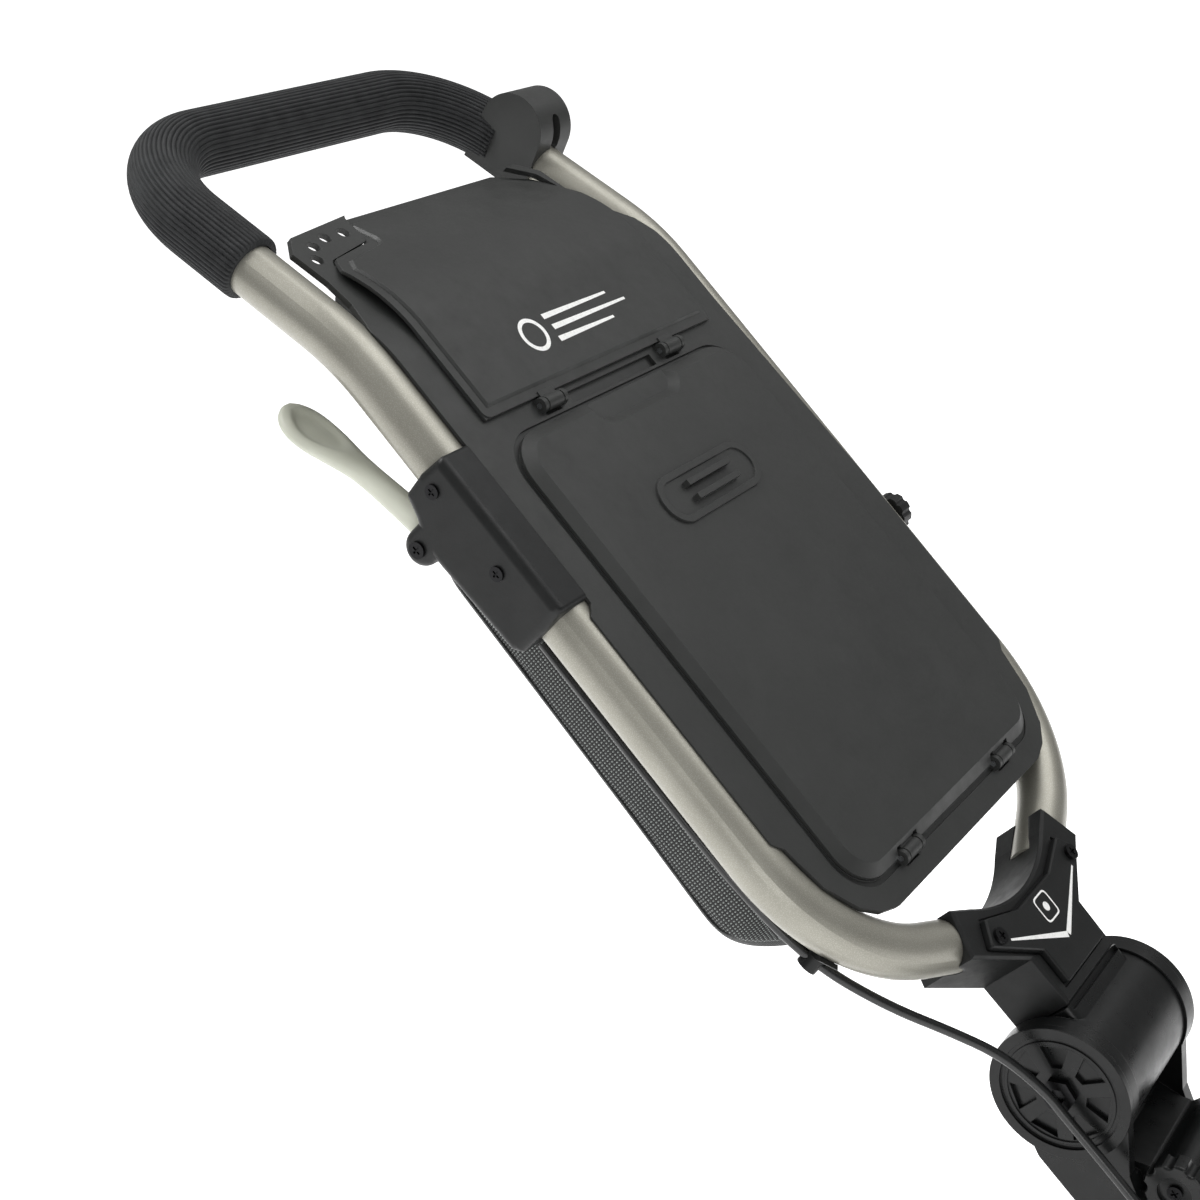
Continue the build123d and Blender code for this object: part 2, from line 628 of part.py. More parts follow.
def housing_half(x_from, x_to):
    """One half of the brake housing, cut from the whole profile and clear of the tray's edge."""
    outline(HOUSING_PROFILE, handle_side(x_from), x_to - x_from, 2.5)
    disc(handle_side(x_from), (PIVOT_Q, PIVOT_N), 9.8, x_to - x_from)
    with BuildSketch(handle_side(x_from)) as neck:
        with Locations((PIVOT_Q, -36)):
            Rectangle(19.6, 14)
    extrude(neck.sketch, amount=x_to - x_from)
    with BuildSketch(HANDLE.offset(TRAY_TOP - TRAY_PLATE - 0.4)) as edge:
        with Locations((HOUSING_IN, 50)):
            Rectangle(2 * (HOUSING_SPLIT - HOUSING_IN), 140)
    extrude(edge.sketch, amount=20, mode=Mode.SUBTRACT)


def housing_hollow():
    """Room for the tube, the lever's boss and its whole swing."""
    add(tube_space.part, mode=Mode.SUBTRACT)
    disc(handle_side(LEVER_X - 7), (PIVOT_Q, PIVOT_N), 11.0, 14, mode=Mode.SUBTRACT)
    with BuildSketch(handle_side(LEVER_X - 7)) as swing:
        with BuildLine():
            Polyline((PIVOT_Q, -29.0), (-6, -29.0), (-6, -62), (PIVOT_Q, -54), close=True)
        make_face()
    extrude(swing.sketch, amount=14, mode=Mode.SUBTRACT)
    bar(handle_point(141.4, 60, -33), handle_point(141.4, 99, -33), CABLE_R + 0.2, mode=Mode.SUBTRACT)
    disc(handle_side(HOUSING_IN), (PIVOT_Q, PIVOT_N), 3.0, 40, mode=Mode.SUBTRACT)


SCREW_SPOTS = ((11.5, -12.5), (62.2, -12.5))
with BuildPart() as brake_housing_outer:
    housing_half(HOUSING_SPLIT + 0.1, HOUSING_OUT)
    fillet(brake_housing_outer.edges().group_by(Axis.X)[-1], 5.0)
    housing_hollow()
    for where in SCREW_SPOTS:
        disc(handle_side(HOUSING_SPLIT), where, 2.05, 30, mode=Mode.SUBTRACT)
brake_housing_outer.part.label = "brake_housing_outer"
export_step(brake_housing_outer.part, "parts/brake_housing_outer.step")

with BuildPart() as brake_housing_inner:
    housing_half(HOUSING_IN, HOUSING_SPLIT - 0.1)
    housing_hollow()
    disc(handle_side(HOUSING_IN + 3), (PIVOT_Q, PIVOT_N), 5.5, 14, mode=Mode.SUBTRACT)
brake_housing_inner.part.label = "brake_housing_inner"
export_step(brake_housing_inner.part, "parts/brake_housing_inner.step")

with BuildPart() as housing_screws:
    for where in SCREW_SPOTS:
        pan_screw(handle_side(HOUSING_OUT), where, 3.9, 1.2, 1.9, HOUSING_OUT - TUBE_X - TUBE_R)
housing_screws.part.label = "housing_screws"
export_step(housing_screws.part, "parts/housing_screws.step")

with BuildPart() as lever_pin:
    pan_screw(handle_side(HOUSING_OUT), (PIVOT_Q, PIVOT_N), 4.4, 1.4, 3.0, HOUSING_OUT - HOUSING_IN - 2)
lever_pin.part.label = "lever_pin"
export_step(lever_pin.part, "parts/lever_pin.step")

LEVER_SECTIONS = [   # q, n, width across, thickness
    (20, -44.0, 12, 15), (-4, -49.0, 12, 14), (-26, -54.5, 14, 12), (-44, -60.5, 24, 11),
    (-60, -65.5, 30, 10), (-72, -67.5, 24, 8),
]
with BuildPart() as brake_lever:
    for q, n, across, thick in LEVER_SECTIONS:
        with BuildSketch(handle_cross(q, LEVER_X, n)):
            RectangleRounded(across, thick, min(across, thick) * 0.42)
    loft()
    disc(handle_side(LEVER_X - 6), (PIVOT_Q, PIVOT_N), 9.0, 12)
    disc(handle_side(LEVER_X - 6), (PIVOT_Q, PIVOT_N), 3.0 + RUN_FIT, 12, mode=Mode.SUBTRACT)
    with BuildSketch(handle_cross(-76, LEVER_X, -64)):
        Ellipse(8, 2.0)
    extrude(amount=-22, mode=Mode.SUBTRACT)
brake_lever.part.label = "brake_lever"
export_step(brake_lever.part, "parts/brake_lever.step")

with BuildPart() as lever_spring:
    for turn in range(3):
        disc(handle_side(HOUSING_IN + 3.5 + 1.8 * turn), (PIVOT_Q, PIVOT_N), 5.2, 1.8, 4.0)
lever_spring.part.label = "lever_spring"
export_step(lever_spring.part, "parts/lever_spring.step")

# ---------------------------------------------------------------- basket under the console
BASKET_HALF = 117.5
BASKET_WALL = 2.5
RIM_N = -28.6
RIM_R = 2.4
BASKET_OUT = [(34, -33), (38, -76), (48, -82), (258, -84), (272, -80), (291, -52), (293, -33)]
BASKET_IN = [(20, -20), (20, -62), (50, -78.8), (256, -80.8), (269, -77.6), (288, -51), (290, -20)]
with BuildPart() as mesh_basket:
    outline(BASKET_OUT, handle_side(), BASKET_HALF, 1.5, both=True)
    outline(BASKET_IN, handle_side(), BASKET_HALF - BASKET_WALL, both=True, mode=Mode.SUBTRACT)
mesh_basket.part.label = "mesh_basket"
export_step(mesh_basket.part, "parts/mesh_basket.step")

with BuildPart() as basket_rim:
    corners = [(-118.2, 34), (-118.2, 292), (118.2, 292), (118.2, 34), (-30, 34)]
    sweep_round([handle_point(-40, 34, RIM_N)] + [handle_point(x, q, RIM_N) for x, q in corners],
                [14] * 4, RIM_R)
    for sign in (-1, 1):
        for q in (150, 228):
            with BuildSketch(HANDLE.offset(RIM_N)):
                with Locations((sign * 121.2, q)):
                    Rectangle(3.8, 9)
            extrude(amount=4.4)
basket_rim.part.label = "basket_rim"
export_step(basket_rim.part, "parts/basket_rim.step")

# ---------------------------------------------------------------- small knob on the far side of the console
with BuildPart() as side_knob:
    face = Plane(origin=handle_point(-TUBE_X - TUBE_R - BODY_GAP, KNOB_Q, TUBE_N), z_dir=(-1, 0, 0))
    with BuildSketch(face):
        Circle(12)
        with PolarLocations(13.2, 10):
            Circle(2.2, mode=Mode.SUBTRACT)
    extrude(amount=11)
    fillet(side_knob.edges().group_by(Axis.X)[0], 1.0)
    bar(handle_point(-TUBE_X - TUBE_R - 2, KNOB_Q, TUBE_N), handle_point(-TUBE_X - 9, KNOB_Q, TUBE_N), STUD_R)
side_knob.part.label = "side_knob"
export_step(side_knob.part, "parts/side_knob.step")

# ---------------------------------------------------------------- brake cable on the handle, and its clip
CABLE_X = 141.4
HUB_CLEAR = 5.4           # both runs stop this far from the fold axis, so that they fold clear
HANDLE_CABLE = [
    handle_point(CABLE_X, 99.5, -33.0),
    handle_point(CABLE_X + 0.8, 150, -32.2),
    handle_point(CABLE_X + 0.6, 205, -32.0),
    handle_point(CABLE_X - 1.4, 256, -32.6),
    handle_point(130.5, 303, -33.0),
    handle_point(109.0, 343, -31.0),
    handle_point(84.0, 376, -28.6),
    handle_point(66.0, 403, -26.8),
    handle_point(58.2, HUB_Q - HUB_CLEAR, HUB_N),
]


def cable_radii(points):
    """The largest arc that each corner's two runs leave room for."""
    radii = []
    for before, corner, after in zip(points, points[1:], points[2:]):
        first = corner - before
        second = after - corner
        turn = radians(first.get_angle(second))
        radii.append(0.45 * min(first.length, second.length) / tan(turn / 2))
    return radii


with BuildPart() as brake_cable_handle:
    sweep_round(HANDLE_CABLE, cable_radii(HANDLE_CABLE), CABLE_R)
brake_cable_handle.part.label = "brake_cable_handle"
export_step(brake_cable_handle.part, "parts/brake_cable_handle.step")

# the clip is a saddle under the tube's elbow with an open hook for the cable
CLIP_TURN = 34.0
CLIP_X = TUBE_X - ELBOW_R + ELBOW_R * cos(radians(CLIP_TURN))
CLIP_TUBE_Q = ELBOW_Q - 63.0 + ELBOW_R * sin(radians(CLIP_TURN))
CLIP_AXIS = (HANDLE.x_dir * -sin(radians(CLIP_TURN)) + Q_DIR * cos(radians(CLIP_TURN))).normalized()
with BuildPart() as cable_clip:
    band = Plane(origin=handle_point(CLIP_X, CLIP_TUBE_Q, TUBE_N) - CLIP_AXIS * 5.5, z_dir=CLIP_AXIS)
    disc(band, (0, 0), TUBE_R + 2.6, 11)
    with BuildSketch(HANDLE.offset(-22)):
        with Locations((CLIP_X, CLIP_TUBE_Q)):
            Rectangle(90, 90)
    extrude(amount=60, mode=Mode.SUBTRACT)
    bar(handle_point(CLIP_X + 2, CLIP_TUBE_Q + 1, -27), handle_point(CLIP_X + 7, CLIP_TUBE_Q + 3, -38), 5.6)
    add(tube_space.part, mode=Mode.SUBTRACT)
    add(brake_cable_handle.part, mode=Mode.SUBTRACT)
    add(console_tray.part, mode=Mode.SUBTRACT)
cable_clip.part.label = "cable_clip"
export_step(cable_clip.part, "parts/cable_clip.step")

# ================================================================ frame
CHEEK_IN = 39.0
CHEEK_OUT = 47.0
CHEEK_R = 37.5
ARM_HALF = 33.0
ARM_END = 100.0
LUG = (70, 24)
CLEVIS_ARM = [(20, -34), (62, -29), (ARM_END, -29), (ARM_END, 13), (58, 13), (46, -2), (30, -12)]
CLEVIS_ROOT = [(20, -34), (62, -29), (72, -24), (72, 4), (58, 6), (46, -2), (30, -12)]
CHEEK_WEB = [(0, -30), (30, -34), (58, -29), (72, -22), (72, 4), (54, 8), (30, 22), (0, 30)]
with BuildPart() as hub_clevis:
    for start in (-CHEEK_OUT, CHEEK_IN):
        disc(spine_side(start), (0, 0), CHEEK_R, CHEEK_OUT - CHEEK_IN)
        outline(CHEEK_WEB, spine_side(start), CHEEK_OUT - CHEEK_IN)
    # arm between the cheeks, hollowed round the barrel, with a lug for the fold knob
    outline(CLEVIS_ARM, spine_side(), ARM_HALF, 2.0, both=True)
    outline(CLEVIS_ROOT, spine_side(), CHEEK_IN + 1, both=True)
    disc(spine_side(-ARM_HALF), LUG, 12.0, 2 * ARM_HALF)
    outline([(60, 0), (82, 0), (82, 24), (58, 24)], spine_side(), ARM_HALF, both=True)
    disc(spine_side(-CHEEK_IN), (0, 0), BARREL_R + BODY_GAP, 2 * CHEEK_IN, mode=Mode.SUBTRACT)
    disc(spine_side(-60), (0, 0), HUB_BOLT_R + RUN_FIT, 120, mode=Mode.SUBTRACT)
    disc(spine_side(-60), LUG, 4.0 + RUN_FIT, 120, mode=Mode.SUBTRACT)
    bar(spine_point(0, 62, SPINE_M), spine_point(0, ARM_END + 5, SPINE_M), SPINE_R + 0.05, mode=Mode.SUBTRACT)
hub_clevis.part.label = "hub_clevis"
export_step(hub_clevis.part, "parts/hub_clevis.step")

# spoked cover discs outside the cheeks
DISC_THICK = 2.6
RIM_RISE = 1.6
WINDOW = [(14.0, -2.6), (26.0, -7.8), (26.0, 7.8), (14.0, 2.6)]
with BuildPart() as hub_discs:
    for sign in (-1, 1):
        outer_face = Plane(origin=HUB, x_dir=S_DIR * sign, z_dir=(sign, 0, 0)).offset(CHEEK_OUT)
        disc(outer_face, (0, 0), CHEEK_R, DISC_THICK)
        disc(outer_face.offset(DISC_THICK), (0, 0), CHEEK_R, RIM_RISE, 32.0)
        disc(outer_face.offset(DISC_THICK), (0, 0), 29.6, 0.8, 28.0)
        with BuildSketch(outer_face):
            with PolarLocations(0, 7):
                Polygon(*WINDOW, align=None)
        extrude(amount=DISC_THICK + 2, mode=Mode.SUBTRACT)
        disc(outer_face, (0, 0), HUB_BOLT_R + RUN_FIT, 4, mode=Mode.SUBTRACT)
hub_discs.part.label = "hub_discs"
export_step(hub_discs.part, "parts/hub_discs.step")

with BuildPart() as hub_bolt:
    disc(spine_side(-55), (0, 0), HUB_BOLT_R, 55 + CHEEK_OUT + DISC_THICK)
    with BuildSketch(spine_side(CHEEK_OUT + DISC_THICK)):
        RegularPolygon(9.5, 6)
    extrude(amount=3.6)
    with BuildSketch(spine_side(CHEEK_OUT + DISC_THICK + 3.6)):
        RegularPolygon(4.2, 6)
    extrude(amount=-2.6, mode=Mode.SUBTRACT)
hub_bolt.part.label = "hub_bolt"
export_step(hub_bolt.part, "parts/hub_bolt.step")

with BuildPart() as hub_nut:
    with BuildSketch(spine_side(-CHEEK_OUT - DISC_THICK - 4.6)):
        RegularPolygon(9.5, 6)
        Circle(HUB_BOLT_R, mode=Mode.SUBTRACT)
    extrude(amount=4.6)
hub_nut.part.label = "hub_nut"
export_step(hub_nut.part, "parts/hub_nut.step")

# scalloped knob that locks the fold, on its own threaded stud
KNOB_R = 16.5
KNOB_BASE = ARM_HALF + 0.5
with BuildPart() as fold_knob:
    with BuildSketch(spine_side(KNOB_BASE)):
        with Locations(LUG):
            Circle(KNOB_R)
            with PolarLocations(KNOB_R + 1.2, 9):
                Circle(3.2, mode=Mode.SUBTRACT)
    extrude(amount=11)
    fillet(fold_knob.edges().group_by(Axis.X)[-1], 1.5)
    disc(spine_side(KNOB_BASE + 9), LUG, 9.0, 2, mode=Mode.SUBTRACT)
    disc(spine_side(KNOB_BASE - 40), LUG, 4.0, 42)
    disc(spine_side(KNOB_BASE + 4), LUG, 1.6, 8, mode=Mode.SUBTRACT)
fold_knob.part.label = "fold_knob"
export_step(fold_knob.part, "parts/fold_knob.step")

with BuildPart() as fold_knob_screw:
    pan_screw(spine_side(KNOB_BASE + 9), LUG, 4.0, 1.8, 1.6, 5.0)
fold_knob_screw.part.label = "fold_knob_screw"
export_step(fold_knob_screw.part, "parts/fold_knob_screw.step")

PIVOT_S = 585.0
SPINE_STOP = 568.0
with BuildPart() as spine_tube:
    bar(spine_point(0, 62.2, SPINE_M), spine_point(0, SPINE_STOP, SPINE_M), SPINE_R, SPINE_BORE)
spine_tube.part.label = "spine_tube"
export_step(spine_tube.part, "parts/spine_tube.step")

# ---------------------------------------------------------------- rear legs
LEG_R = 12.5
BRACE_STOP = 38.0         # a brace stops this far from the axle, clear of the leg
BRACE_R = 9.5
KNUCKLE_X = 236.0
COLLAR_IN = 106.0
COLLAR_OUT = 148.0
BRACE_IN = 412.0
BRACE_OUT = 446.0


def along(start, stop, distance):
    """The point at a distance from start on the way to stop."""
    return start + (stop - start).normalized() * distance


def knuckle_centre(sign):
    """The rear axle's centre at a knuckle."""
    return Vector(sign * KNUCKLE_X, REAR_AXLE_Y, REAR_AXLE_Z)


def leg_top(sign):
    """Upper end of a rear leg, inside the leg bracket."""
    return spine_point(sign * 38, 120, -4)


def brace_top(sign):
    """Upper end of a lower brace, inside the brace bracket."""
    return spine_point(sign * 32, 428, -14)


with BuildPart() as leg_bracket:
    bar(spine_point(0, COLLAR_IN, SPINE_M), spine_point(0, COLLAR_OUT, SPINE_M), 26)
    outline([(COLLAR_IN + 2, -28), (COLLAR_OUT - 2, -28), (COLLAR_OUT - 2, 6), (COLLAR_IN + 2, 10)],
            spine_side(), 40, 3.0, both=True)
    for sign in (-1, 1):
        bar(along(leg_top(sign), knuckle_centre(sign), -9), along(leg_top(sign), knuckle_centre(sign), 44),
            17)
    for sign in (-1, 1):
        bar(leg_top(sign), knuckle_centre(sign), LEG_R + 0.05, mode=Mode.SUBTRACT)
    bar(spine_point(0, COLLAR_IN - 9, SPINE_M), spine_point(0, COLLAR_OUT + 60, SPINE_M), SPINE_R + 0.05,
        mode=Mode.SUBTRACT)
leg_bracket.part.label = "leg_bracket"
export_step(leg_bracket.part, "parts/leg_bracket.step")

with BuildPart() as brace_bracket:
    bar(spine_point(0, BRACE_IN, SPINE_M), spine_point(0, BRACE_OUT, SPINE_M), 25)
    outline([(BRACE_IN + 2, -28), (BRACE_OUT - 2, -28), (BRACE_OUT - 2, 2), (BRACE_IN + 2, 2)],
            spine_side(), 32, 3.0, both=True)
    for sign in (-1, 1):
        bar(along(brace_top(sign), knuckle_centre(sign), -10),
            along(brace_top(sign), knuckle_centre(sign), 34), 13)
    for sign in (-1, 1):
        bar(brace_top(sign), knuckle_centre(sign), BRACE_R + 0.05, mode=Mode.SUBTRACT)
    bar(spine_point(0, BRACE_IN - 60, SPINE_M), spine_point(0, BRACE_OUT + 60, SPINE_M), SPINE_R + 0.05,
        mode=Mode.SUBTRACT)
brace_bracket.part.label = "brace_bracket"
export_step(brace_bracket.part, "parts/brace_bracket.step")

for side, sign in (("right", 1), ("left", -1)):
    centre = knuckle_centre(sign)
    with BuildPart() as rear_leg:
        bar(leg_top(sign), along(centre, leg_top(sign), 14), LEG_R, LEG_R - 1.6)
    rear_leg.part.label = f"rear_leg_{side}"
    export_step(rear_leg.part, f"parts/rear_leg_{side}.step")


with BuildPart() as rear_braces:
    for sign in (-1, 1):
        bar(brace_top(sign), along(knuckle_centre(sign), brace_top(sign), BRACE_STOP), BRACE_R, BRACE_R - 1.5)
rear_braces.part.label = "rear_braces"
export_step(rear_braces.part, "parts/rear_braces.step")

with BuildPart() as axle_knuckles:
    for sign in (-1, 1):
        centre = knuckle_centre(sign)
        disc(world_side(sign * KNUCKLE_X - 12, REAR_AXLE_Y, REAR_AXLE_Z), (0, 0), 22, 24)
        bar(centre, along(centre, leg_top(sign), 46), 16.5)
        bar(centre, along(centre, brace_top(sign), 64), 13)
    for sign in (-1, 1):
        centre = knuckle_centre(sign)
        bar(along(centre, leg_top(sign), 13.8), along(centre, leg_top(sign), 60), LEG_R + 0.05,
            mode=Mode.SUBTRACT)
        bar(along(centre, brace_top(sign), BRACE_STOP - 0.2), along(centre, brace_top(sign), 80),
            BRACE_R + 0.05, mode=Mode.SUBTRACT)
        with BuildSketch(Plane(origin=(sign * 248, REAR_AXLE_Y, REAR_AXLE_Z), z_dir=(sign, 0, 0))):
            Circle(60)
        extrude(amount=20, mode=Mode.SUBTRACT)
        disc(world_side(sign * KNUCKLE_X - 40, REAR_AXLE_Y, REAR_AXLE_Z), (0, 0), AXLE_R, 80,
             mode=Mode.SUBTRACT)
axle_knuckles.part.label = "axle_knuckles"
export_step(axle_knuckles.part, "parts/axle_knuckles.step")

# ---------------------------------------------------------------- wheels
HUB_HALF = 28.5
BEARING_R = 14.0
BEARING_W = 8.0


def wheel_section(x, y, z):
    """Half section through a wheel: (X, out from the axle)."""
    return Plane(origin=(x, y, z), x_dir=(1, 0, 0), z_dir=(0, -1, 0))


def turned(points, x, y, z, rounding=0.0, mode=Mode.ADD):
    """A ring turned from a polygon section about a wheel's axle."""
    with BuildSketch(wheel_section(x, y, z)) as section:
        with BuildLine():
            Polyline(*points, close=True)
        made = make_face()
        if rounding:
            fillet(made.vertices(), rounding)
    revolve(section.sketch, axis=Axis((x, y, z), (1, 0, 0)), mode=mode)


for name, x, y, wheel_r in (
    ("rear_right", TRACK_X, REAR_AXLE_Y, REAR_WHEEL_R),
    ("rear_left", -TRACK_X, REAR_AXLE_Y, REAR_WHEEL_R),
    ("front", 0.0, FRONT_AXLE_Y, FRONT_WHEEL_R),
):
    rim_r = wheel_r - 22.0
    with BuildPart() as wheel_rim:
        turned([(-HUB_HALF, 9), (-HUB_HALF, 20), (HUB_HALF, 20), (HUB_HALF, 9)], x, y, wheel_r)
        turned([(-15, rim_r), (-15, rim_r - 5), (-6, rim_r - 10), (6, rim_r - 10), (15, rim_r - 5),
                (15, rim_r)], x, y, wheel_r)
        with BuildSketch(world_side(x - 6, y, wheel_r)):
            with PolarLocations((rim_r + 10) / 2, 5):
                Trapezoid(rim_r - 20, 20, 84, rotation=0)
        extrude(amount=12)
        for start in (-HUB_HALF, HUB_HALF - BEARING_W):
            disc(world_side(x + start, y, wheel_r), (0, 0), BEARING_R, BEARING_W, mode=Mode.SUBTRACT)
        disc(world_side(x - HUB_HALF, y, wheel_r), (0, 0), 9, 2 * HUB_HALF, mode=Mode.SUBTRACT)
    wheel_rim.part.label = f"{name}_rim"
    export_step(wheel_rim.part, f"parts/{name}_rim.step")

    with BuildPart() as wheel_tyre:
        turned([(-17, rim_r), (-20.5, rim_r + 8), (-19, wheel_r - 5), (-11, wheel_r), (11, wheel_r),
                (19, wheel_r - 5), (20.5, rim_r + 8), (17, rim_r)], x, y, wheel_r)
    wheel_tyre.part.label = f"{name}_tyre"
    export_step(wheel_tyre.part, f"parts/{name}_tyre.step")

    with BuildPart() as wheel_bearings:
        for start in (-HUB_HALF, HUB_HALF - BEARING_W):
            disc(world_side(x + start, y, wheel_r), (0, 0), BEARING_R, BEARING_W, AXLE_R + RUN_FIT)
    wheel_bearings.part.label = f"{name}_bearings"
    export_step(wheel_bearings.part, f"parts/{name}_bearings.step")

HUB_INNER = TRACK_X - HUB_HALF
HUB_OUTER = TRACK_X + HUB_HALF
with BuildPart() as stub_axles:
    for sign in (-1, 1):
        side_plane = Plane(origin=(0, REAR_AXLE_Y, REAR_AXLE_Z), x_dir=(0, sign, 0), z_dir=(sign, 0, 0))
        disc(side_plane.offset(KNUCKLE_X - 12), (0, 0), AXLE_R, HUB_OUTER + 6 - KNUCKLE_X + 12)
        disc(side_plane.offset(248), (0, 0), 9.5, HUB_INNER - 0.5 - 248)
stub_axles.part.label = "stub_axles"
export_step(stub_axles.part, "parts/stub_axles.step")

with BuildPart() as axle_caps:
    for sign in (-1, 1):
        side_plane = Plane(origin=(0, REAR_AXLE_Y, REAR_AXLE_Z), x_dir=(0, sign, 0), z_dir=(sign, 0, 0))
        disc(side_plane.offset(HUB_OUTER + 0.5), (0, 0), 12.0, 5.5, AXLE_R)
axle_caps.part.label = "axle_caps"
export_step(axle_caps.part, "parts/axle_caps.step")

# ---------------------------------------------------------------- front fork
FORK_PIVOT = spine_point(0, PIVOT_S, SPINE_M)
PIVOT_BOLT_R = 5.0
BLOCK_R = 23.0
BLOCK_HALF = 31.0
FORK_IN = 33.0
FORK_OUT = 41.0
fork_run = Vector(0, FRONT_AXLE_Y - FORK_PIVOT.Y, FRONT_AXLE_Z - FORK_PIVOT.Z)
FORK_SIDE = Plane(origin=FORK_PIVOT, x_dir=fork_run.normalized(), z_dir=(1, 0, 0))
FORK_LEN = fork_run.length

with BuildPart() as spine_end_block:
    bar(spine_point(0, 540, SPINE_M), FORK_PIVOT, 23.5)
    disc(world_side(-BLOCK_HALF, FORK_PIVOT.Y, FORK_PIVOT.Z), (0, 0), BLOCK_R, 2 * BLOCK_HALF)
    bar(spine_point(0, 500, SPINE_M), spine_point(0, SPINE_STOP, SPINE_M), SPINE_R + 0.05, mode=Mode.SUBTRACT)
    disc(world_side(-60, FORK_PIVOT.Y, FORK_PIVOT.Z), (0, 0), PIVOT_BOLT_R + RUN_FIT, 120,
         mode=Mode.SUBTRACT)
spine_end_block.part.label = "spine_end_block"
export_step(spine_end_block.part, "parts/spine_end_block.step")

with BuildPart() as front_fork:
    for start in (-FORK_OUT, FORK_IN):
        with BuildSketch(FORK_SIDE.offset(start)):
            Circle(20)
            with Locations((FORK_LEN, 0)):
                Circle(14)
            with BuildLine():
                Polyline((0, -20), (FORK_LEN, -14), (FORK_LEN, 14), (0, 20), close=True)
            make_face()
        extrude(amount=FORK_OUT - FORK_IN)
    with BuildSketch(FORK_SIDE):
        with Locations((30.0, 0)):
            RectangleRounded(9, 30, 3)
    extrude(amount=FORK_OUT, both=True)
    disc(FORK_SIDE.offset(-60), (0, 0), PIVOT_BOLT_R, 120, mode=Mode.SUBTRACT)
    disc(FORK_SIDE.offset(-60), (FORK_LEN, 0), AXLE_R, 120, mode=Mode.SUBTRACT)
front_fork.part.label = "front_fork"
export_step(front_fork.part, "parts/front_fork.step")

for name, where, radius in (("fork_bolt", (0, 0), PIVOT_BOLT_R), ("front_axle", (FORK_LEN, 0), AXLE_R)):
    with BuildPart() as cross_bolt:
        disc(FORK_SIDE.offset(-FORK_OUT - 4), where, radius, 2 * FORK_OUT + 8)
        for start in (-FORK_OUT - 4, FORK_OUT):
            with BuildSketch(FORK_SIDE.offset(start)):
                with Locations(where):
                    RegularPolygon(radius + 3.5, 6)
            extrude(amount=4)
    cross_bolt.part.label = name
    export_step(cross_bolt.part, f"parts/{name}.step")

# ---------------------------------------------------------------- bag brackets and their straps
CRADLE_R = 118.0
CRADLE_LOW = 17.0


def cradle(s_from, s_to, half_angle):
    """A curved rest for the bag, between two places on the spine."""
    centre = (0, CRADLE_LOW + CRADLE_R)
    with BuildSketch(spine_cross(s_from)) as arc:
        with BuildLine():
            inner = CenterArc(centre, CRADLE_R, 270 - half_angle, 2 * half_angle)
            outer = CenterArc(centre, CRADLE_R + 6, 270 - half_angle, 2 * half_angle)
            Line(inner @ 0, outer @ 0)
            Line(inner @ 1, outer @ 1)
        made = make_face()
        fillet(made.vertices(), 2.4)
    extrude(arc.sketch, amount=-(s_to - s_from))


def strap(s_from, s_to, half, tip, middle):
    """A flat rubber strap stretched from tip to tip."""
    with BuildSketch(spine_cross(s_from)) as band:
        with BuildLine():
            low = ThreePointArc((-half, tip), (0, middle), (half, tip))
            top = ThreePointArc((-half, tip + 3), (0, middle + 3), (half, tip + 3))
            Line(low @ 0, top @ 0)
            Line(low @ 1, top @ 1)
        make_face()
    extrude(band.sketch, amount=-(s_to - s_from))


def bracket_tip(half_angle):
    """Middle of a cradle's tip: across, above the hub's level."""
    tip = radians(half_angle)
    return (CRADLE_R + 3) * sin(tip), CRADLE_LOW + CRADLE_R - (CRADLE_R + 3) * cos(tip)


BRACKETS = (   # name, first and last place on the spine, half angle of the cradle
    ("upper", 184.0, 212.0, 52.0),
    ("lower", 494.0, 520.0, 46.0),
)
for name, s_from, s_to, half_angle in BRACKETS:
    with BuildPart() as bag_bracket:
        bar(spine_point(0, s_from - 2, SPINE_M), spine_point(0, s_to + 2, SPINE_M), 25)
        with BuildSketch(spine_cross(s_from)):
            with Locations((0, 7)):
                Rectangle(30, 22)
        extrude(amount=-(s_to - s_from))
        cradle(s_from, s_to, half_angle)
        if name == "lower":
            # shelf that carries the bag's base
            with BuildSketch(spine_cross(s_to - 1)):
                with Locations((0, 58)):
                    RectangleRounded(150, 92, 30)
            extrude(amount=-5)
        bar(spine_point(0, s_from - 60, SPINE_M), spine_point(0, s_to + 60, SPINE_M), SPINE_R + 0.05,
            mode=Mode.SUBTRACT)
    bag_bracket.part.label = f"{name}_bag_bracket"
    export_step(bag_bracket.part, f"parts/{name}_bag_bracket.step")

with BuildPart() as bag_straps:
    for name, s_from, s_to, half_angle in BRACKETS:
        tip_x, tip_m = bracket_tip(half_angle)
        strap(s_from + 4, s_to - 5, tip_x - 3.2, tip_m + 4.4, tip_m - 4)
bag_straps.part.label = "bag_straps"
export_step(bag_straps.part, "parts/bag_straps.step")

# ---------------------------------------------------------------- rear brake and the cable down to it
LEG_DIR = (knuckle_centre(1) - leg_top(1)).normalized()
LEG_SIDE = (Vector(1, 0, 0) - LEG_DIR * LEG_DIR.X).normalized()
CABLE_OFF = LEG_R + CABLE_R + 1.2


def beside_leg(distance, bow):
    """A point of the cable on the outer side of the right leg."""
    return leg_top(1) + LEG_DIR * distance + LEG_SIDE * (CABLE_OFF + bow)


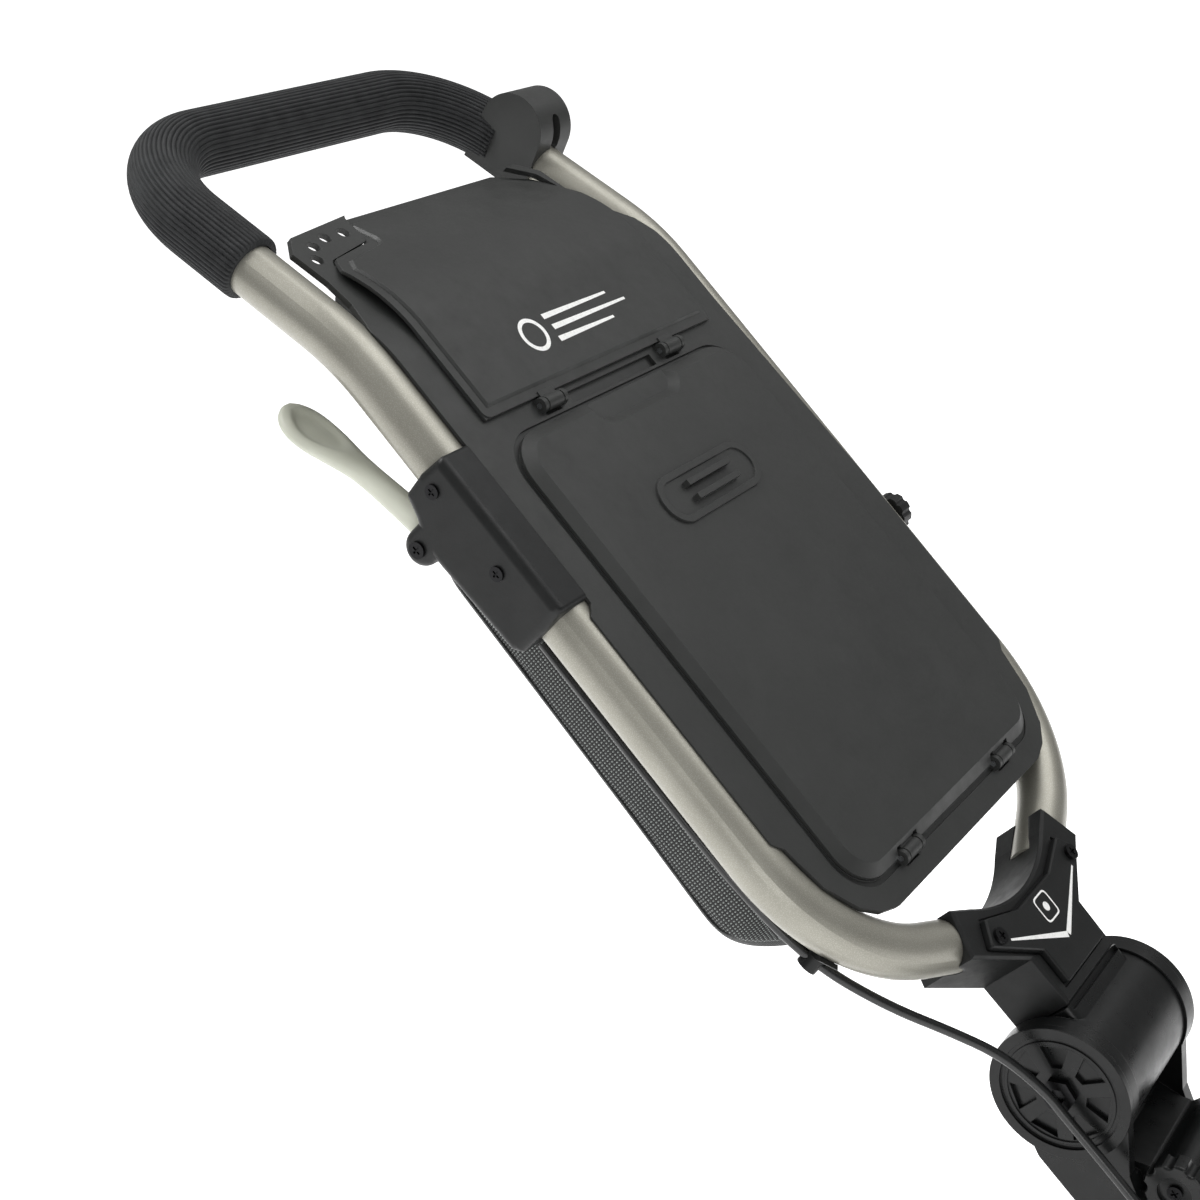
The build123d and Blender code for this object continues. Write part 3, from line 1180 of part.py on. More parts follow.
CABLE_ENTRY = Vector(246, REAR_AXLE_Y + 14, REAR_AXLE_Z + 47)
FRAME_CABLE = [
    spine_point(57.5, HUB_CLEAR, 0),
    spine_point(57.0, 44, 7),
    spine_point(61.0, 92, 18),
    beside_leg(26, 9.0),
    beside_leg(75, 1.6),
    beside_leg(128, 0.0),
    beside_leg(196, 1.8),
    beside_leg(268, 2.0),
    beside_leg(326, 0.0),
    beside_leg(366, 0.6),
    CABLE_ENTRY,
]
with BuildPart() as brake_cable_frame:
    sweep_round(FRAME_CABLE, cable_radii(FRAME_CABLE), CABLE_R)
brake_cable_frame.part.label = "brake_cable_frame"
export_step(brake_cable_frame.part, "parts/brake_cable_frame.step")


COVER_R = 50.0
with BuildPart() as brake_cover:
    disc(world_side(248.2, REAR_AXLE_Y, REAR_AXLE_Z), (0, 0), COVER_R, 7.6)
    fillet(brake_cover.edges().group_by(Axis.X)[0], 2.5)
    entry_dir = (CABLE_ENTRY - FRAME_CABLE[-2]).normalized()
    bar(CABLE_ENTRY, CABLE_ENTRY + entry_dir * 12, 5.6)
    disc(world_side(240, REAR_AXLE_Y, REAR_AXLE_Z), (0, 0), 9.6, 20, mode=Mode.SUBTRACT)
    disc(world_side(255.8, REAR_AXLE_Y, REAR_AXLE_Z), (0, 0), 90, 20, mode=Mode.SUBTRACT)
brake_cover.part.label = "brake_cover"
export_step(brake_cover.part, "parts/brake_cover.step")

with BuildPart() as cable_guides:
    for distance in (128, 326):
        low = leg_top(1) + LEG_DIR * (distance - 4.5)
        bar(low, low + LEG_DIR * 9, LEG_R + 2.2)
        bar(low + LEG_SIDE * CABLE_OFF, low + LEG_SIDE * CABLE_OFF + LEG_DIR * 9, CABLE_R + 1.8)
    bar(leg_top(1), knuckle_centre(1), LEG_R, mode=Mode.SUBTRACT)
    add(brake_cable_frame.part, mode=Mode.SUBTRACT)
cable_guides.part.label = "cable_guides"
export_step(cable_guides.part, "parts/cable_guides.step")
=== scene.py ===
import json
from math import cos, exp, pi, radians, sin, sqrt, tan

import bmesh
import bpy
from mathutils import Matrix, Vector, noise
from mathutils.bvhtree import BVHTree


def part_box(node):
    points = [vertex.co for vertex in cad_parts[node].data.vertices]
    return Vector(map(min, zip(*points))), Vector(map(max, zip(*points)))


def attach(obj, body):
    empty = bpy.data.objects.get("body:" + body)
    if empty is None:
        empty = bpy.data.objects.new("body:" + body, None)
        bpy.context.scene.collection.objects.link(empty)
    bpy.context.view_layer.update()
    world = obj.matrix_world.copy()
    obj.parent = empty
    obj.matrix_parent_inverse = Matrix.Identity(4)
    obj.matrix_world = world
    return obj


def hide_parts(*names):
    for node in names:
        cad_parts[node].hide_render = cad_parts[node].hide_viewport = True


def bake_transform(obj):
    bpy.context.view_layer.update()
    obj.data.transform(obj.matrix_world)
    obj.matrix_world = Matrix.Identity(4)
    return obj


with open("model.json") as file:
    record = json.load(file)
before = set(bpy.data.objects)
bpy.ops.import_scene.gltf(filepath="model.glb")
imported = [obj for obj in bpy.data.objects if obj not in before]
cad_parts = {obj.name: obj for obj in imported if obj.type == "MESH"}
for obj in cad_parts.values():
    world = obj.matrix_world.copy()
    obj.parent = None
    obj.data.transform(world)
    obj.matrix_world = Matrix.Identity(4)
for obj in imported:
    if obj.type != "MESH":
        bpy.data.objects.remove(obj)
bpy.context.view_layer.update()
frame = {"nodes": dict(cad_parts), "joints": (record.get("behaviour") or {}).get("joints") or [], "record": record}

MM = 0.001
PIVOT = {joint["name"]: Vector(joint["pos_m"]) for joint in frame["joints"]}


# ---------------------------------------------------------------- places on the trolley
def slope_frame(origin, degrees):
    """Places on a sloping plane, in mm: across, down the slope, above it."""
    down = Vector((0, cos(radians(degrees)), -sin(radians(degrees))))
    above = Vector((0, sin(radians(degrees)), cos(radians(degrees))))

    def place(across, along, height=0.0):
        return origin + (Vector((across, 0, 0)) + down * along + above * height) * MM

    place.down = down
    place.above = above
    return place


CONSOLE_SLOPE = 43.0
LOOP_SLOPE = 26.5
SPINE_SLOPE = 52.0
EYE_HEIGHT = 3.3          # lid eyes over the console's plane
BEND_Q = -72.0            # where the grip loop starts, up the console from the eyes
TUBE_N = -14.0

_tilt = radians(CONSOLE_SLOPE)
console = slope_frame(
    PIVOT["upper_lid_hinge"] - Vector((0, sin(_tilt), cos(_tilt))) * EYE_HEIGHT * MM, CONSOLE_SLOPE
)
spine = slope_frame(PIVOT["handle_fold"], SPINE_SLOPE)
_loop = slope_frame(console(0, BEND_Q, TUBE_N), LOOP_SLOPE)


def loop(across, along, height=0.0):
    """A place on the grip loop, measured upwards from its bend."""
    return _loop(across, -along, height)


# ---------------------------------------------------------------- node and colour helpers
def srgb(code):
    """The linear colour of an sRGB hex value."""
    values = [int(code[i:i + 2], 16) / 255 for i in (1, 3, 5)]
    return [v / 12.92 if v <= 0.04045 else ((v + 0.055) / 1.055) ** 2.4 for v in values] + [1.0]


def add_node(tree, kind, settings=None, **links):
    """A node with its settings, and its inputs linked or set by name or number."""
    made = tree.nodes.new(kind)
    for key, value in (settings or {}).items():
        setattr(made, key, value)
    for key, value in links.items():
        name = key.replace("_", " ")
        socket = made.inputs[int(key[1:])] if key[0] == "i" and key[1:].isdigit() else made.inputs[name]
        if isinstance(value, bpy.types.NodeSocket):
            tree.links.new(value, socket)
        else:
            socket.default_value = value
    return made


def new_finish(name, **sockets):
    """A material with a Principled shader, its constants on the shader's own sockets."""
    material = bpy.data.materials.new(name)
    material.use_nodes = True
    tree = material.node_tree
    shader = tree.nodes["Principled BSDF"]
    for key, value in sockets.items():
        shader.inputs[key.replace("_", " ")].default_value = value
    return material, tree, shader


def grain(tree, place, size_mm, detail=2.0, rough=0.5):
    """Noise whose features are about size_mm across."""
    return add_node(tree, "ShaderNodeTexNoise", None, Vector=place, Scale=1.0 / (size_mm * MM),
                    Detail=detail, Roughness=rough).outputs["Fac"]


def ramp(tree, value, low, high, dark, light):
    """Two colours mixed by a value between two levels."""
    made = add_node(tree, "ShaderNodeValToRGB", None, Fac=value)
    stops = made.color_ramp.elements
    stops[0].position, stops[1].position = low, high
    stops[0].color, stops[1].color = srgb(dark), srgb(light)
    return made.outputs["Color"]


def between(tree, value, low, high, out_low, out_high):
    """A value mapped from one span to another."""
    made = add_node(tree, "ShaderNodeMapRange", None, Value=value)
    for socket, number in zip(("From Min", "From Max", "To Min", "To Max"), (low, high, out_low, out_high)):
        made.inputs[socket].default_value = number
    return made.outputs["Result"]


def raised(tree, shader, height, depth_mm, strength=1.0, below=None):
    """A bump of the given depth on the shader's normal."""
    made = add_node(tree, "ShaderNodeBump", None, Height=height, Distance=depth_mm * MM, Strength=strength)
    if below:
        tree.links.new(below, made.inputs["Normal"])
    tree.links.new(made.outputs["Normal"], shader.inputs["Normal"])
    return made.outputs["Normal"]


def object_place(tree):
    """Object coordinates."""
    return add_node(tree, "ShaderNodeTexCoord").outputs["Object"]


# ---------------------------------------------------------------- finishes
def champagne_metallic_paint():
    """Metallic powder paint on aluminium tube: pale warm silver with a fine sparkle and a satin coat."""
    material, tree, shader = new_finish("champagne metallic powder paint", Metallic=0.75, Coat_Weight=0.25,
                                        Coat_Roughness=0.12)
    place = object_place(tree)
    flakes = add_node(tree, "ShaderNodeTexVoronoi", None, Vector=place, Scale=1.0 / (0.55 * MM))
    cloud = grain(tree, place, 38.0, 3.0)
    tone = ramp(tree, cloud, 0.35, 0.7, "#959389", "#a19f95")
    sparkle = ramp(tree, flakes.outputs["Distance"], 0.10, 0.42, "#cfcdc4", "#929086")
    mixed = add_node(tree, "ShaderNodeMix", {"data_type": "RGBA"}, i0=0.38, i6=tone, i7=sparkle)
    tree.links.new(mixed.outputs[2], shader.inputs["Base Color"])
    tree.links.new(between(tree, flakes.outputs["Distance"], 0.0, 0.5, 0.36, 0.46),
                   shader.inputs["Roughness"])
    # orange peel of the sprayed coat
    raised(tree, shader, grain(tree, place, 3.0, 1.0), 0.02)
    return material


def moulded(name, dark, light, roughness, grain_mm=0.9, depth_mm=0.05, scuffs=0.10, edge_mm=0.5,
            shine=0.38):
    """Moulded plastic: a spark-eroded grain breaks up the gloss, and handling polishes it in patches."""
    material, tree, shader = new_finish(name, IOR=1.5, Specular_IOR_Level=shine)
    place = object_place(tree)
    pits = grain(tree, place, grain_mm, 3.0, 0.6)
    patches = grain(tree, place, 60.0, 4.0, 0.6)
    worn = grain(tree, place, 14.0, 5.0, 0.65)
    tree.links.new(ramp(tree, patches, 0.3, 0.75, dark, light), shader.inputs["Base Color"])
    tree.links.new(between(tree, worn, 0.3, 0.75, roughness - scuffs, roughness + scuffs),
                   shader.inputs["Roughness"])
    eased = add_node(tree, "ShaderNodeBevel", {"samples": 4}, Radius=edge_mm * MM).outputs["Normal"]
    raised(tree, shader, pits, depth_mm, 0.8, eased)
    return material


def lever_acetal():
    """Moulded acetal: pale grey-green, waxy and smooth, with faint flow lines."""
    material, tree, shader = new_finish("pale grey acetal", IOR=1.48, Subsurface_Weight=0.05)
    shader.inputs["Subsurface Radius"].default_value = (0.004, 0.004, 0.003)
    place = object_place(tree)
    cloud = grain(tree, place, 22.0, 3.0)
    tree.links.new(ramp(tree, cloud, 0.3, 0.7, "#c2c4b6", "#cccec0"), shader.inputs["Base Color"])
    tree.links.new(between(tree, cloud, 0.3, 0.7, 0.34, 0.44), shader.inputs["Roughness"])
    raised(tree, shader, grain(tree, place, 1.6, 2.0), 0.015)
    return material


def ribbed_eva_foam():
    """Closed-cell EVA foam: near black, quite dull, with a fine cell texture on the ribs."""
    material, tree, shader = new_finish("closed-cell EVA foam", IOR=1.45, Specular_IOR_Level=0.35)
    place = object_place(tree)
    cells = add_node(tree, "ShaderNodeTexVoronoi", None, Vector=place,
                     Scale=1.0 / (0.8 * MM)).outputs["Distance"]
    tree.links.new(ramp(tree, grain(tree, place, 9.0, 4.0), 0.3, 0.7, "#202122", "#2d2e2f"),
                   shader.inputs["Base Color"])
    shader.inputs["Roughness"].default_value = 0.72
    raised(tree, shader, cells, 0.08, 0.6)
    return material


def steel(name, colour, roughness):
    """Plated steel: grey metal with fine turning marks that blur its highlights."""
    material, tree, shader = new_finish(name, Metallic=1.0)
    place = object_place(tree)
    marks = grain(tree, place, 0.5, 4.0, 0.7)
    shader.inputs["Base Color"].default_value = srgb(colour)
    tree.links.new(between(tree, marks, 0.3, 0.7, roughness - 0.08, roughness + 0.08),
                   shader.inputs["Roughness"])
    raised(tree, shader, marks, 0.01)
    return material


def knitted_mesh():
    """Warp-knitted polyester mesh: near-black threads round rows of staggered holes, which get a paler colour as
    painted light seen through the cloth.
    """
    material, tree, shader = new_finish("knitted polyester mesh", IOR=1.5, Sheen_Weight=0.3,
                                        Sheen_Roughness=0.4)
    surface = add_node(tree, "ShaderNodeUVMap", {"uv_map": "weave_mm"}).outputs["UV"]
    split = add_node(tree, "ShaderNodeSeparateXYZ", None, Vector=surface)
    pitch_mm = 2.4

    def times(a, b):
        return add_node(tree, "ShaderNodeMath", {"operation": "MULTIPLY"}, i0=a, i1=b).outputs[0]

    def wave(source, pitches):
        turns = times(source, 2 * pi / (pitch_mm * pitches))
        return add_node(tree, "ShaderNodeMath", {"operation": "COSINE"}, i0=turns).outputs[0]

    # holes stand where two crossed waves peak together, which staggers every second row
    holes = times(wave(split.outputs["X"], 2.0), wave(split.outputs["Y"], 1.5))
    magnitude = add_node(tree, "ShaderNodeMath", {"operation": "ABSOLUTE"}, i0=holes).outputs[0]
    # painted light: the pale colour mixed into the holes stands in for bright light seen through the mesh
    holes_painted_light = between(tree, magnitude, 0.64, 0.90, 0.0, 1.0)
    colour = add_node(tree, "ShaderNodeMix", {"data_type": "RGBA"}, i0=holes_painted_light, i6=srgb("#141515"),
                      i7=srgb("#8d9390"))
    tree.links.new(colour.outputs[2], shader.inputs["Base Color"])
    shader.inputs["Roughness"].default_value = 0.75
    raised(tree, shader, magnitude, -0.5, 0.9)
    return material


def woven_tape():
    """Plain-woven binding tape: a fine cross rib and dull black yarn, with painted shade darkening the troughs
    between the ribs.
    """
    material, tree, shader = new_finish("woven polyester tape", IOR=1.5, Sheen_Weight=0.25)
    surface = add_node(tree, "ShaderNodeUVMap", {"uv_map": "weave_mm"}).outputs["UV"]
    ribs = add_node(tree, "ShaderNodeTexWave", {"bands_direction": "Y", "wave_profile": "SIN"},
                    Vector=surface, Scale=0.33, Distortion=0.6, Detail=1.0)
    ribs.inputs["Detail Scale"].default_value = 2.0
    # painted shade: the colour is darker in the rib troughs and lighter on the crests, following the bump
    shade = ramp(tree, ribs.outputs["Fac"], 0.2, 0.8, "#1d1f1f", "#2c2e2e")
    tree.links.new(shade, shader.inputs["Base Color"])
    shader.inputs["Roughness"].default_value = 0.8
    raised(tree, shader, ribs.outputs["Fac"], 0.25, 0.8)
    return material


def cable_jacket():
    """Extruded PVC jacket: black and glossy, with slight draw marks."""
    material, tree, shader = new_finish("PVC cable jacket", IOR=1.53)
    place = object_place(tree)
    marks = grain(tree, place, 5.0, 3.0)
    shader.inputs["Base Color"].default_value = srgb("#151616")
    tree.links.new(between(tree, marks, 0.3, 0.7, 0.22, 0.34), shader.inputs["Roughness"])
    raised(tree, shader, grain(tree, place, 1.2, 2.0), 0.02)
    return material


def pad_print():
    """White pad-printed ink: a thin satin film that follows the grain below it."""
    material, tree, shader = new_finish("white pad-print ink", IOR=1.48)
    place = object_place(tree)
    tree.links.new(ramp(tree, grain(tree, place, 1.4, 3.0), 0.25, 0.5, "#dcdcda", "#f1f1ef"),
                   shader.inputs["Base Color"])
    shader.inputs["Roughness"].default_value = 0.5
    raised(tree, shader, grain(tree, place, 0.9, 3.0), 0.04)
    return material


def tyre_foam():
    """Moulded EVA tyre: dull grey-black with mould grain and dust in the grooves."""
    material, tree, shader = new_finish("moulded EVA tyre", IOR=1.45, Specular_IOR_Level=0.35)
    place = object_place(tree)
    dust = grain(tree, place, 18.0, 5.0, 0.65)
    tree.links.new(ramp(tree, dust, 0.35, 0.8, "#232424", "#3a3936"), shader.inputs["Base Color"])
    tree.links.new(between(tree, dust, 0.3, 0.8, 0.68, 0.85), shader.inputs["Roughness"])
    raised(tree, shader, grain(tree, place, 1.1, 4.0, 0.7), 0.12)
    return material


TUBE = champagne_metallic_paint()
CONSOLE = moulded("grained charcoal ABS", "#2a2b2a", "#303130", 0.50)
BLACK = moulded("grained black nylon", "#131414", "#191a1a", 0.44, grain_mm=1.1, depth_mm=0.06,
                edge_mm=0.6, shine=0.28)
HUB_BLACK = moulded("satin black nylon", "#0e0f0f", "#141515", 0.32, grain_mm=1.4, depth_mm=0.04,
                    scuffs=0.08, edge_mm=0.6, shine=0.30)
WHEEL = moulded("black polypropylene", "#232425", "#2b2c2d", 0.44, grain_mm=1.2)
BUSH = moulded("natural nylon", "#cfcdc2", "#d8d6cb", 0.42, grain_mm=1.0, depth_mm=0.03)
LEVER = lever_acetal()
FOAM = ribbed_eva_foam()
BLACK_STEEL = steel("black oxide steel", "#2a2a2b", 0.38)
ZINC = steel("zinc-plated steel", "#b9bcbf", 0.30)
MESH_CLOTH = knitted_mesh()
TAPE = woven_tape()
JACKET = cable_jacket()
INK = pad_print()
TYRE = tyre_foam()
STRAP = moulded("ribbed black rubber", "#1b1b1b", "#232323", 0.62, grain_mm=0.7, depth_mm=0.08)

FINISH_OF = {
    "tube_silver": TUBE, "grip_foam": FOAM, "console_plastic": CONSOLE, "black_plastic": BLACK,
    "lever_plastic": LEVER, "screw_black": BLACK_STEEL, "steel": ZINC, "bush_nylon": BUSH,
    "basket_mesh": MESH_CLOTH, "basket_binding": TAPE, "cable_jacket": JACKET, "wheel_plastic": WHEEL,
    "tyre_foam": TYRE, "strap_rubber": STRAP,
}
FINISH_OF_NODE = {
    "hub_clevis": HUB_BLACK, "hub_discs": HUB_BLACK, "hub_barrel": HUB_BLACK, "fold_knob": HUB_BLACK,
    "hub_bolt": BLACK_STEEL, "hub_nut": BLACK_STEEL, "lever_pin": BLACK_STEEL,
}
for entry in frame["record"]["subparts"]:
    cad = frame["nodes"][entry["node"]]
    cad.data.materials.clear()
    cad.data.materials.append(FINISH_OF_NODE.get(entry["node"]) or FINISH_OF[entry["material_slot"]])


# ---------------------------------------------------------------- mesh helpers
def link(made):
    """The object, put in the scene."""
    bpy.context.scene.collection.objects.link(made)
    return made


def make_piece(name, points, faces, finish, body, weave=None):
    """A smooth piece from its points and faces, riding on its body, with weave coordinates if given."""
    mesh = bpy.data.meshes.new(name)
    mesh.from_pydata([tuple(p) for p in points], [], faces)
    mesh.validate()
    mesh.materials.append(finish)
    mesh.polygons.foreach_set("use_smooth", [True] * len(mesh.polygons))
    if weave:
        layer = mesh.uv_layers.new(name="weave_mm")
        for corner in mesh.loops:
            layer.data[corner.index].uv = weave[corner.vertex_index]
    mesh.update()
    made = link(bpy.data.objects.new(name, mesh))
    if body:
        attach(made, body)
    return made


def as_plain_mesh(made):
    """The evaluated mesh, with its modifiers applied, in the place of the object."""
    name = made.name
    graph = bpy.context.evaluated_depsgraph_get()
    mesh = bpy.data.meshes.new_from_object(made.evaluated_get(graph), preserve_all_data_layers=True,
                                           depsgraph=graph)
    bpy.data.objects.remove(made)
    mesh.name = name
    return link(bpy.data.objects.new(name, mesh))


def facing_out(made):
    """Normals recalculated outwards after doubles are merged."""
    work = bmesh.new()
    work.from_mesh(made.data)
    bmesh.ops.remove_doubles(work, verts=work.verts, dist=1e-6)
    bmesh.ops.recalc_face_normals(work, faces=work.faces)
    work.to_mesh(made.data)
    work.free()
    made.data.update()
    return made


def ring_faces(count, rings, closed=True):
    """Four-cornered faces between rings of count points that follow each other."""
    around = count if closed else count - 1
    faces = []
    for i in range(rings - 1):
        for k in range(around):
            a, b = i * count + k, i * count + (k + 1) % count
            faces.append((a, b, b + count, a + count))
    return faces


def capped(faces, count, rings):
    """Flat ends for a row of closed rings."""
    return faces + [tuple(reversed(range(count))), tuple(range((rings - 1) * count, rings * count))]


def rounded_route(corners, radius, step):
    """Straight runs joined by arcs, as closely spaced places with their directions."""
    route = []
    start = corners[0]
    for before, corner, after in zip(corners, corners[1:], corners[2:]):
        into = (corner - before).normalized()
        out = (after - corner).normalized()
        turn = into.angle(out)
        cut = radius * tan(turn / 2)
        first = corner - into * cut
        centre = first + (out - into * into.dot(out)).normalized() * radius
        runs = max(1, round((first - start).length / step))
        route += [(start.lerp(first, i / runs), into) for i in range(runs)]
        turns = max(4, round(turn * radius / step))
        side = (first - centre).normalized()
        for i in range(turns):
            angle = turn * i / turns
            route.append((centre + (side * cos(angle) + into * sin(angle)) * radius,
                          into * cos(angle) - side * sin(angle)))
        start = corner + out * cut
    last = corners[-1]
    direction = (last - start).normalized()
    runs = max(1, round((last - start).length / step))
    route += [(start.lerp(last, i / runs), direction) for i in range(runs + 1)]
    return route


def swept(route, ring_at, up):
    """Points of a skin swept along a route; ring_at(i) gives the ring there in mm."""
    points = []
    for i, (centre, direction) in enumerate(route):
        across = direction.cross(up).normalized()
        over = across.cross(direction).normalized()
        points += [centre + (across * a + over * b) * MM for a, b in ring_at(i)]
    return points


# ---------------------------------------------------------------- foam grip with its long ribs
GRIP_RIBS = 44
GRIP_R = 18.35
GROOVE = 1.25
RIB_PROFILE = (   # share of the way to the next rib, share of the groove's depth
    (0.0, 1.0), (0.12, 0.45), (0.3, 0.05), (0.7, 0.05), (0.88, 0.45),
)
LOOP_X, LOOP_ALONG, LOOP_CORNER = 136.5, 171.0, 60.0
GRIP_FROM, GRIP_TO = (137.9, 71.0), (-137.3, 128.0)      # across, along the loop
END_ROLL = ((0.0, 14.2), (0.0, 16.6), (0.5, 17.6), (1.4, 18.15))   # in from the end, radius there
RIBBED_FROM = 17.0        # ribs start where the rolled end reaches this radius


def grip_sleeve():
    """Foam sleeve on the loop, with ribs along it and rolled ends."""
    corners = [loop(*GRIP_FROM), loop(LOOP_X, LOOP_ALONG), loop(-LOOP_X, LOOP_ALONG), loop(*GRIP_TO)]
    route = rounded_route(corners, LOOP_CORNER * MM, 4.0 * MM)

    def ring(radius):
        groove = GROOVE if radius > RIBBED_FROM else 0.0
        made = []
        for rib in range(GRIP_RIBS):
            for step, depth in RIB_PROFILE:
                angle = 2 * pi * (rib + step) / GRIP_RIBS
                r = radius - groove * depth
                made.append((r * cos(angle), r * sin(angle)))
        return made

    first, last = route[0], route[-1]
    start = [((first[0] + first[1] * inset * MM, first[1]), r) for inset, r in END_ROLL]
    stop = [((last[0] - last[1] * inset * MM, last[1]), r) for inset, r in reversed(END_ROLL)]
    whole = start + [(at, GRIP_R) for at in route[1:-1]] + stop
    points = swept([at for at, _ in whole], lambda i: ring(whole[i][1]), _loop.above)
    faces = ring_faces(GRIP_RIBS * len(RIB_PROFILE), len(whole))
    made = make_piece("foam_grip_sleeve", points, faces, FOAM, "handle")
    facing_out(made)
    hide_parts("handle_grip")


grip_sleeve()

# ---------------------------------------------------------------- brake lever, a dished spoon on a neck
LEVER_X = 143.0
LEVER_RINGS = [   # down the handle, above it, width across, thickness
    (20.0, -44.0, 12.0, 15.0), (8.0, -46.4, 12.0, 14.6), (-4.0, -49.0, 12.0, 14.0),
    (-16.0, -51.9, 12.4, 13.0), (-26.0, -54.6, 14.5, 12.0), (-35.0, -57.6, 19.0, 11.4),
    (-44.0, -60.6, 24.5, 11.0), (-52.0, -63.3, 28.5, 10.6), (-60.0, -65.6, 30.0, 10.0),
    (-66.5, -67.0, 28.5, 9.2), (-72.0, -67.9, 24.0, 8.0), (-76.5, -68.4, 16.0, 6.4), (-79.2, -68.6, 7.0, 4.0),
]
LEVER_AROUND = 40
LEVER_SQUARENESS = 0.8    # below 1 the oval section fills its corners
DISH_Q = -57.0            # middle of the thumb dish, down the handle
DISH_HALF_LENGTH = 19.0
DISH_NARROWING = 1.35
DISH_REACH = 0.86
DISH_EDGE = 16.0          # higher makes the dish's edge sharper
DISH_DEPTH = 2.6


def eased_between(rows, per_span):
    """Rows of numbers with eased rows put between them."""
    made = []
    for i in range(len(rows) - 1):
        r0, r1, r2, r3 = (rows[min(max(i + k, 0), len(rows) - 1)] for k in (-1, 0, 1, 2))
        for step in range(per_span):
            t = step / per_span
            made.append([
                0.5 * (2 * b + (c - a) * t + (2 * a - 5 * b + 4 * c - d) * t * t
                       + (3 * b - a - 3 * c + d) * t ** 3)
                for a, b, c, d in zip(r0, r1, r2, r3)
            ])
    return made + [list(rows[-1])]


def rounded(value):
    """A cosine or sine pushed outwards, with its sign kept."""
    return abs(value) ** LEVER_SQUARENESS * (1 if value > 0 else -1)


def brake_lever():
    """Neck and spoon lofted from ring to ring, with a shallow dish in the thumb face."""
    rows = eased_between(LEVER_RINGS, 4)
    points = []
    for q, n, width, thick in rows:
        for k in range(LEVER_AROUND):
            angle = 2 * pi * k / LEVER_AROUND
            across, above = rounded(cos(angle)), rounded(sin(angle))
            height = above * thick / 2
            if above > 0:
                reach = sqrt((across * DISH_NARROWING) ** 2 + ((q - DISH_Q) / DISH_HALF_LENGTH) ** 2)
                height -= DISH_DEPTH / (1 + exp((reach - DISH_REACH) * DISH_EDGE))
            points.append(console(LEVER_X + across * width / 2, q, n + height))
    faces = capped(ring_faces(LEVER_AROUND, len(rows)), LEVER_AROUND, len(rows))
    made = make_piece("spoon_brake_lever", points, faces, LEVER, "brake_lever")
    facing_out(made)
    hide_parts("brake_lever")


brake_lever()

# ---------------------------------------------------------------- mesh basket under the console
BASKET_X = 118.2
RIM_Q = (34.0, 292.0)
RIM_N = -28.6
FLOOR_ROWS = [   # down the console, height of the cloth's floor
    (36.0, -76.0), (44.0, -78.6), (70.0, -79.4), (110.0, -80.2), (150.0, -81.2), (190.0, -82.2),
    (225.0, -83.4), (250.0, -84.4), (262.0, -84.0), (271.0, -80.5), (279.0, -71.0), (286.0, -57.0),
    (291.0, -42.0), (292.4, -31.0),
]
BASKET_CORNER = 10.0
WALL_CELLS, CORNER_CELLS, FLOOR_CELLS = 8, 6, 17
WALL_SLACK, WALL_RIPPLE = 1.3, 1.2
FLOOR_SAG, FLOOR_RIPPLE, FOOT_PUCKER = 4.5, 2.0, 2.2
PUCKER_FROM = 200.0       # puckers start here and grow down to the foot


def corner_radius(floor_n):
    """Radius of the pouch's lower corners, less where it is shallow."""
    return min(BASKET_CORNER, (RIM_N - floor_n) * 0.45)


def basket_section(floor_n):
    """One section of the pouch, side, corner and floor, as across, above and how much it bulges."""
    radius = corner_radius(floor_n)
    right = []
    for i in range(WALL_CELLS):
        t = i / WALL_CELLS
        right.append((BASKET_X, RIM_N - (RIM_N - floor_n - radius) * t, sin(pi * t)))
    for i in range(CORNER_CELLS):
        angle = pi / 2 * i / CORNER_CELLS
        right.append((BASKET_X - radius + radius * cos(angle), floor_n + radius - radius * sin(angle), 0.0))
    for i in range(FLOOR_CELLS + 1):
        t = i / FLOOR_CELLS
        right.append(((BASKET_X - radius) * (1 - t), floor_n, sin(pi / 2 * t)))
    left = [(-x, n, -bulge if abs(x) == BASKET_X else bulge) for x, n, bulge in reversed(right[:-1])]
    return right + left


def slack_cloth(x, q, n, bulge):
    """A place of the pouch, bulged, rippled and puckered as slack cloth is."""
    middle = sin(pi * min(max((q - RIM_Q[0]) / (RIM_Q[1] - RIM_Q[0]), 0), 1))
    ripple = noise.noise(Vector((x * 0.02, q * 0.035, n * 0.04)))
    pucker = noise.noise(Vector((x * 0.09, q * 0.03, 7.3))) * max(0.0, (q - PUCKER_FROM) / 90)
    if abs(x) == BASKET_X:
        x += WALL_SLACK * bulge * middle + WALL_RIPPLE * ripple * bulge * (1 if x > 0 else -1)
    else:
        n -= FLOOR_SAG * bulge * middle + FLOOR_RIPPLE * ripple + FOOT_PUCKER * pucker
    return console(x, q, n)


def mesh_pouch():
    """Knitted pouch that hangs from the wire rim: slack walls, a sagging floor and puckers at its foot."""
    rows = eased_between(FLOOR_ROWS, 5)
    points, weave = [], []
    down_cloth = 0.0
    previous_row = None
    for q, floor_n in rows:
        row = Vector((0, q, floor_n))
        down_cloth += (row - previous_row).length if previous_row else 0.0
        previous_row = row
        across_cloth = 0.0
        previous = None
        for x, n, bulge in basket_section(floor_n):
            here = Vector((x, 0, n))
            across_cloth += (here - previous).length if previous else 0.0
            previous = here
            points.append(slack_cloth(x, q, n, bulge))
            weave.append((across_cloth, down_cloth))
    faces = ring_faces(len(points) // len(rows), len(rows), closed=False)
    made = make_piece("knitted_mesh_pouch", points, faces, MESH_CLOTH, None, weave)
    wall = made.modifiers.new("cloth thickness", "SOLIDIFY")
    wall.thickness = 0.7 * MM
    wall.offset = 0.0
    made = as_plain_mesh(made)
    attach(made, "handle")
    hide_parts("mesh_basket")
    return rows


TAPE_AROUND = 12
TAPE_YARN = 1.2           # weave coordinate from point to point round a tape, mm


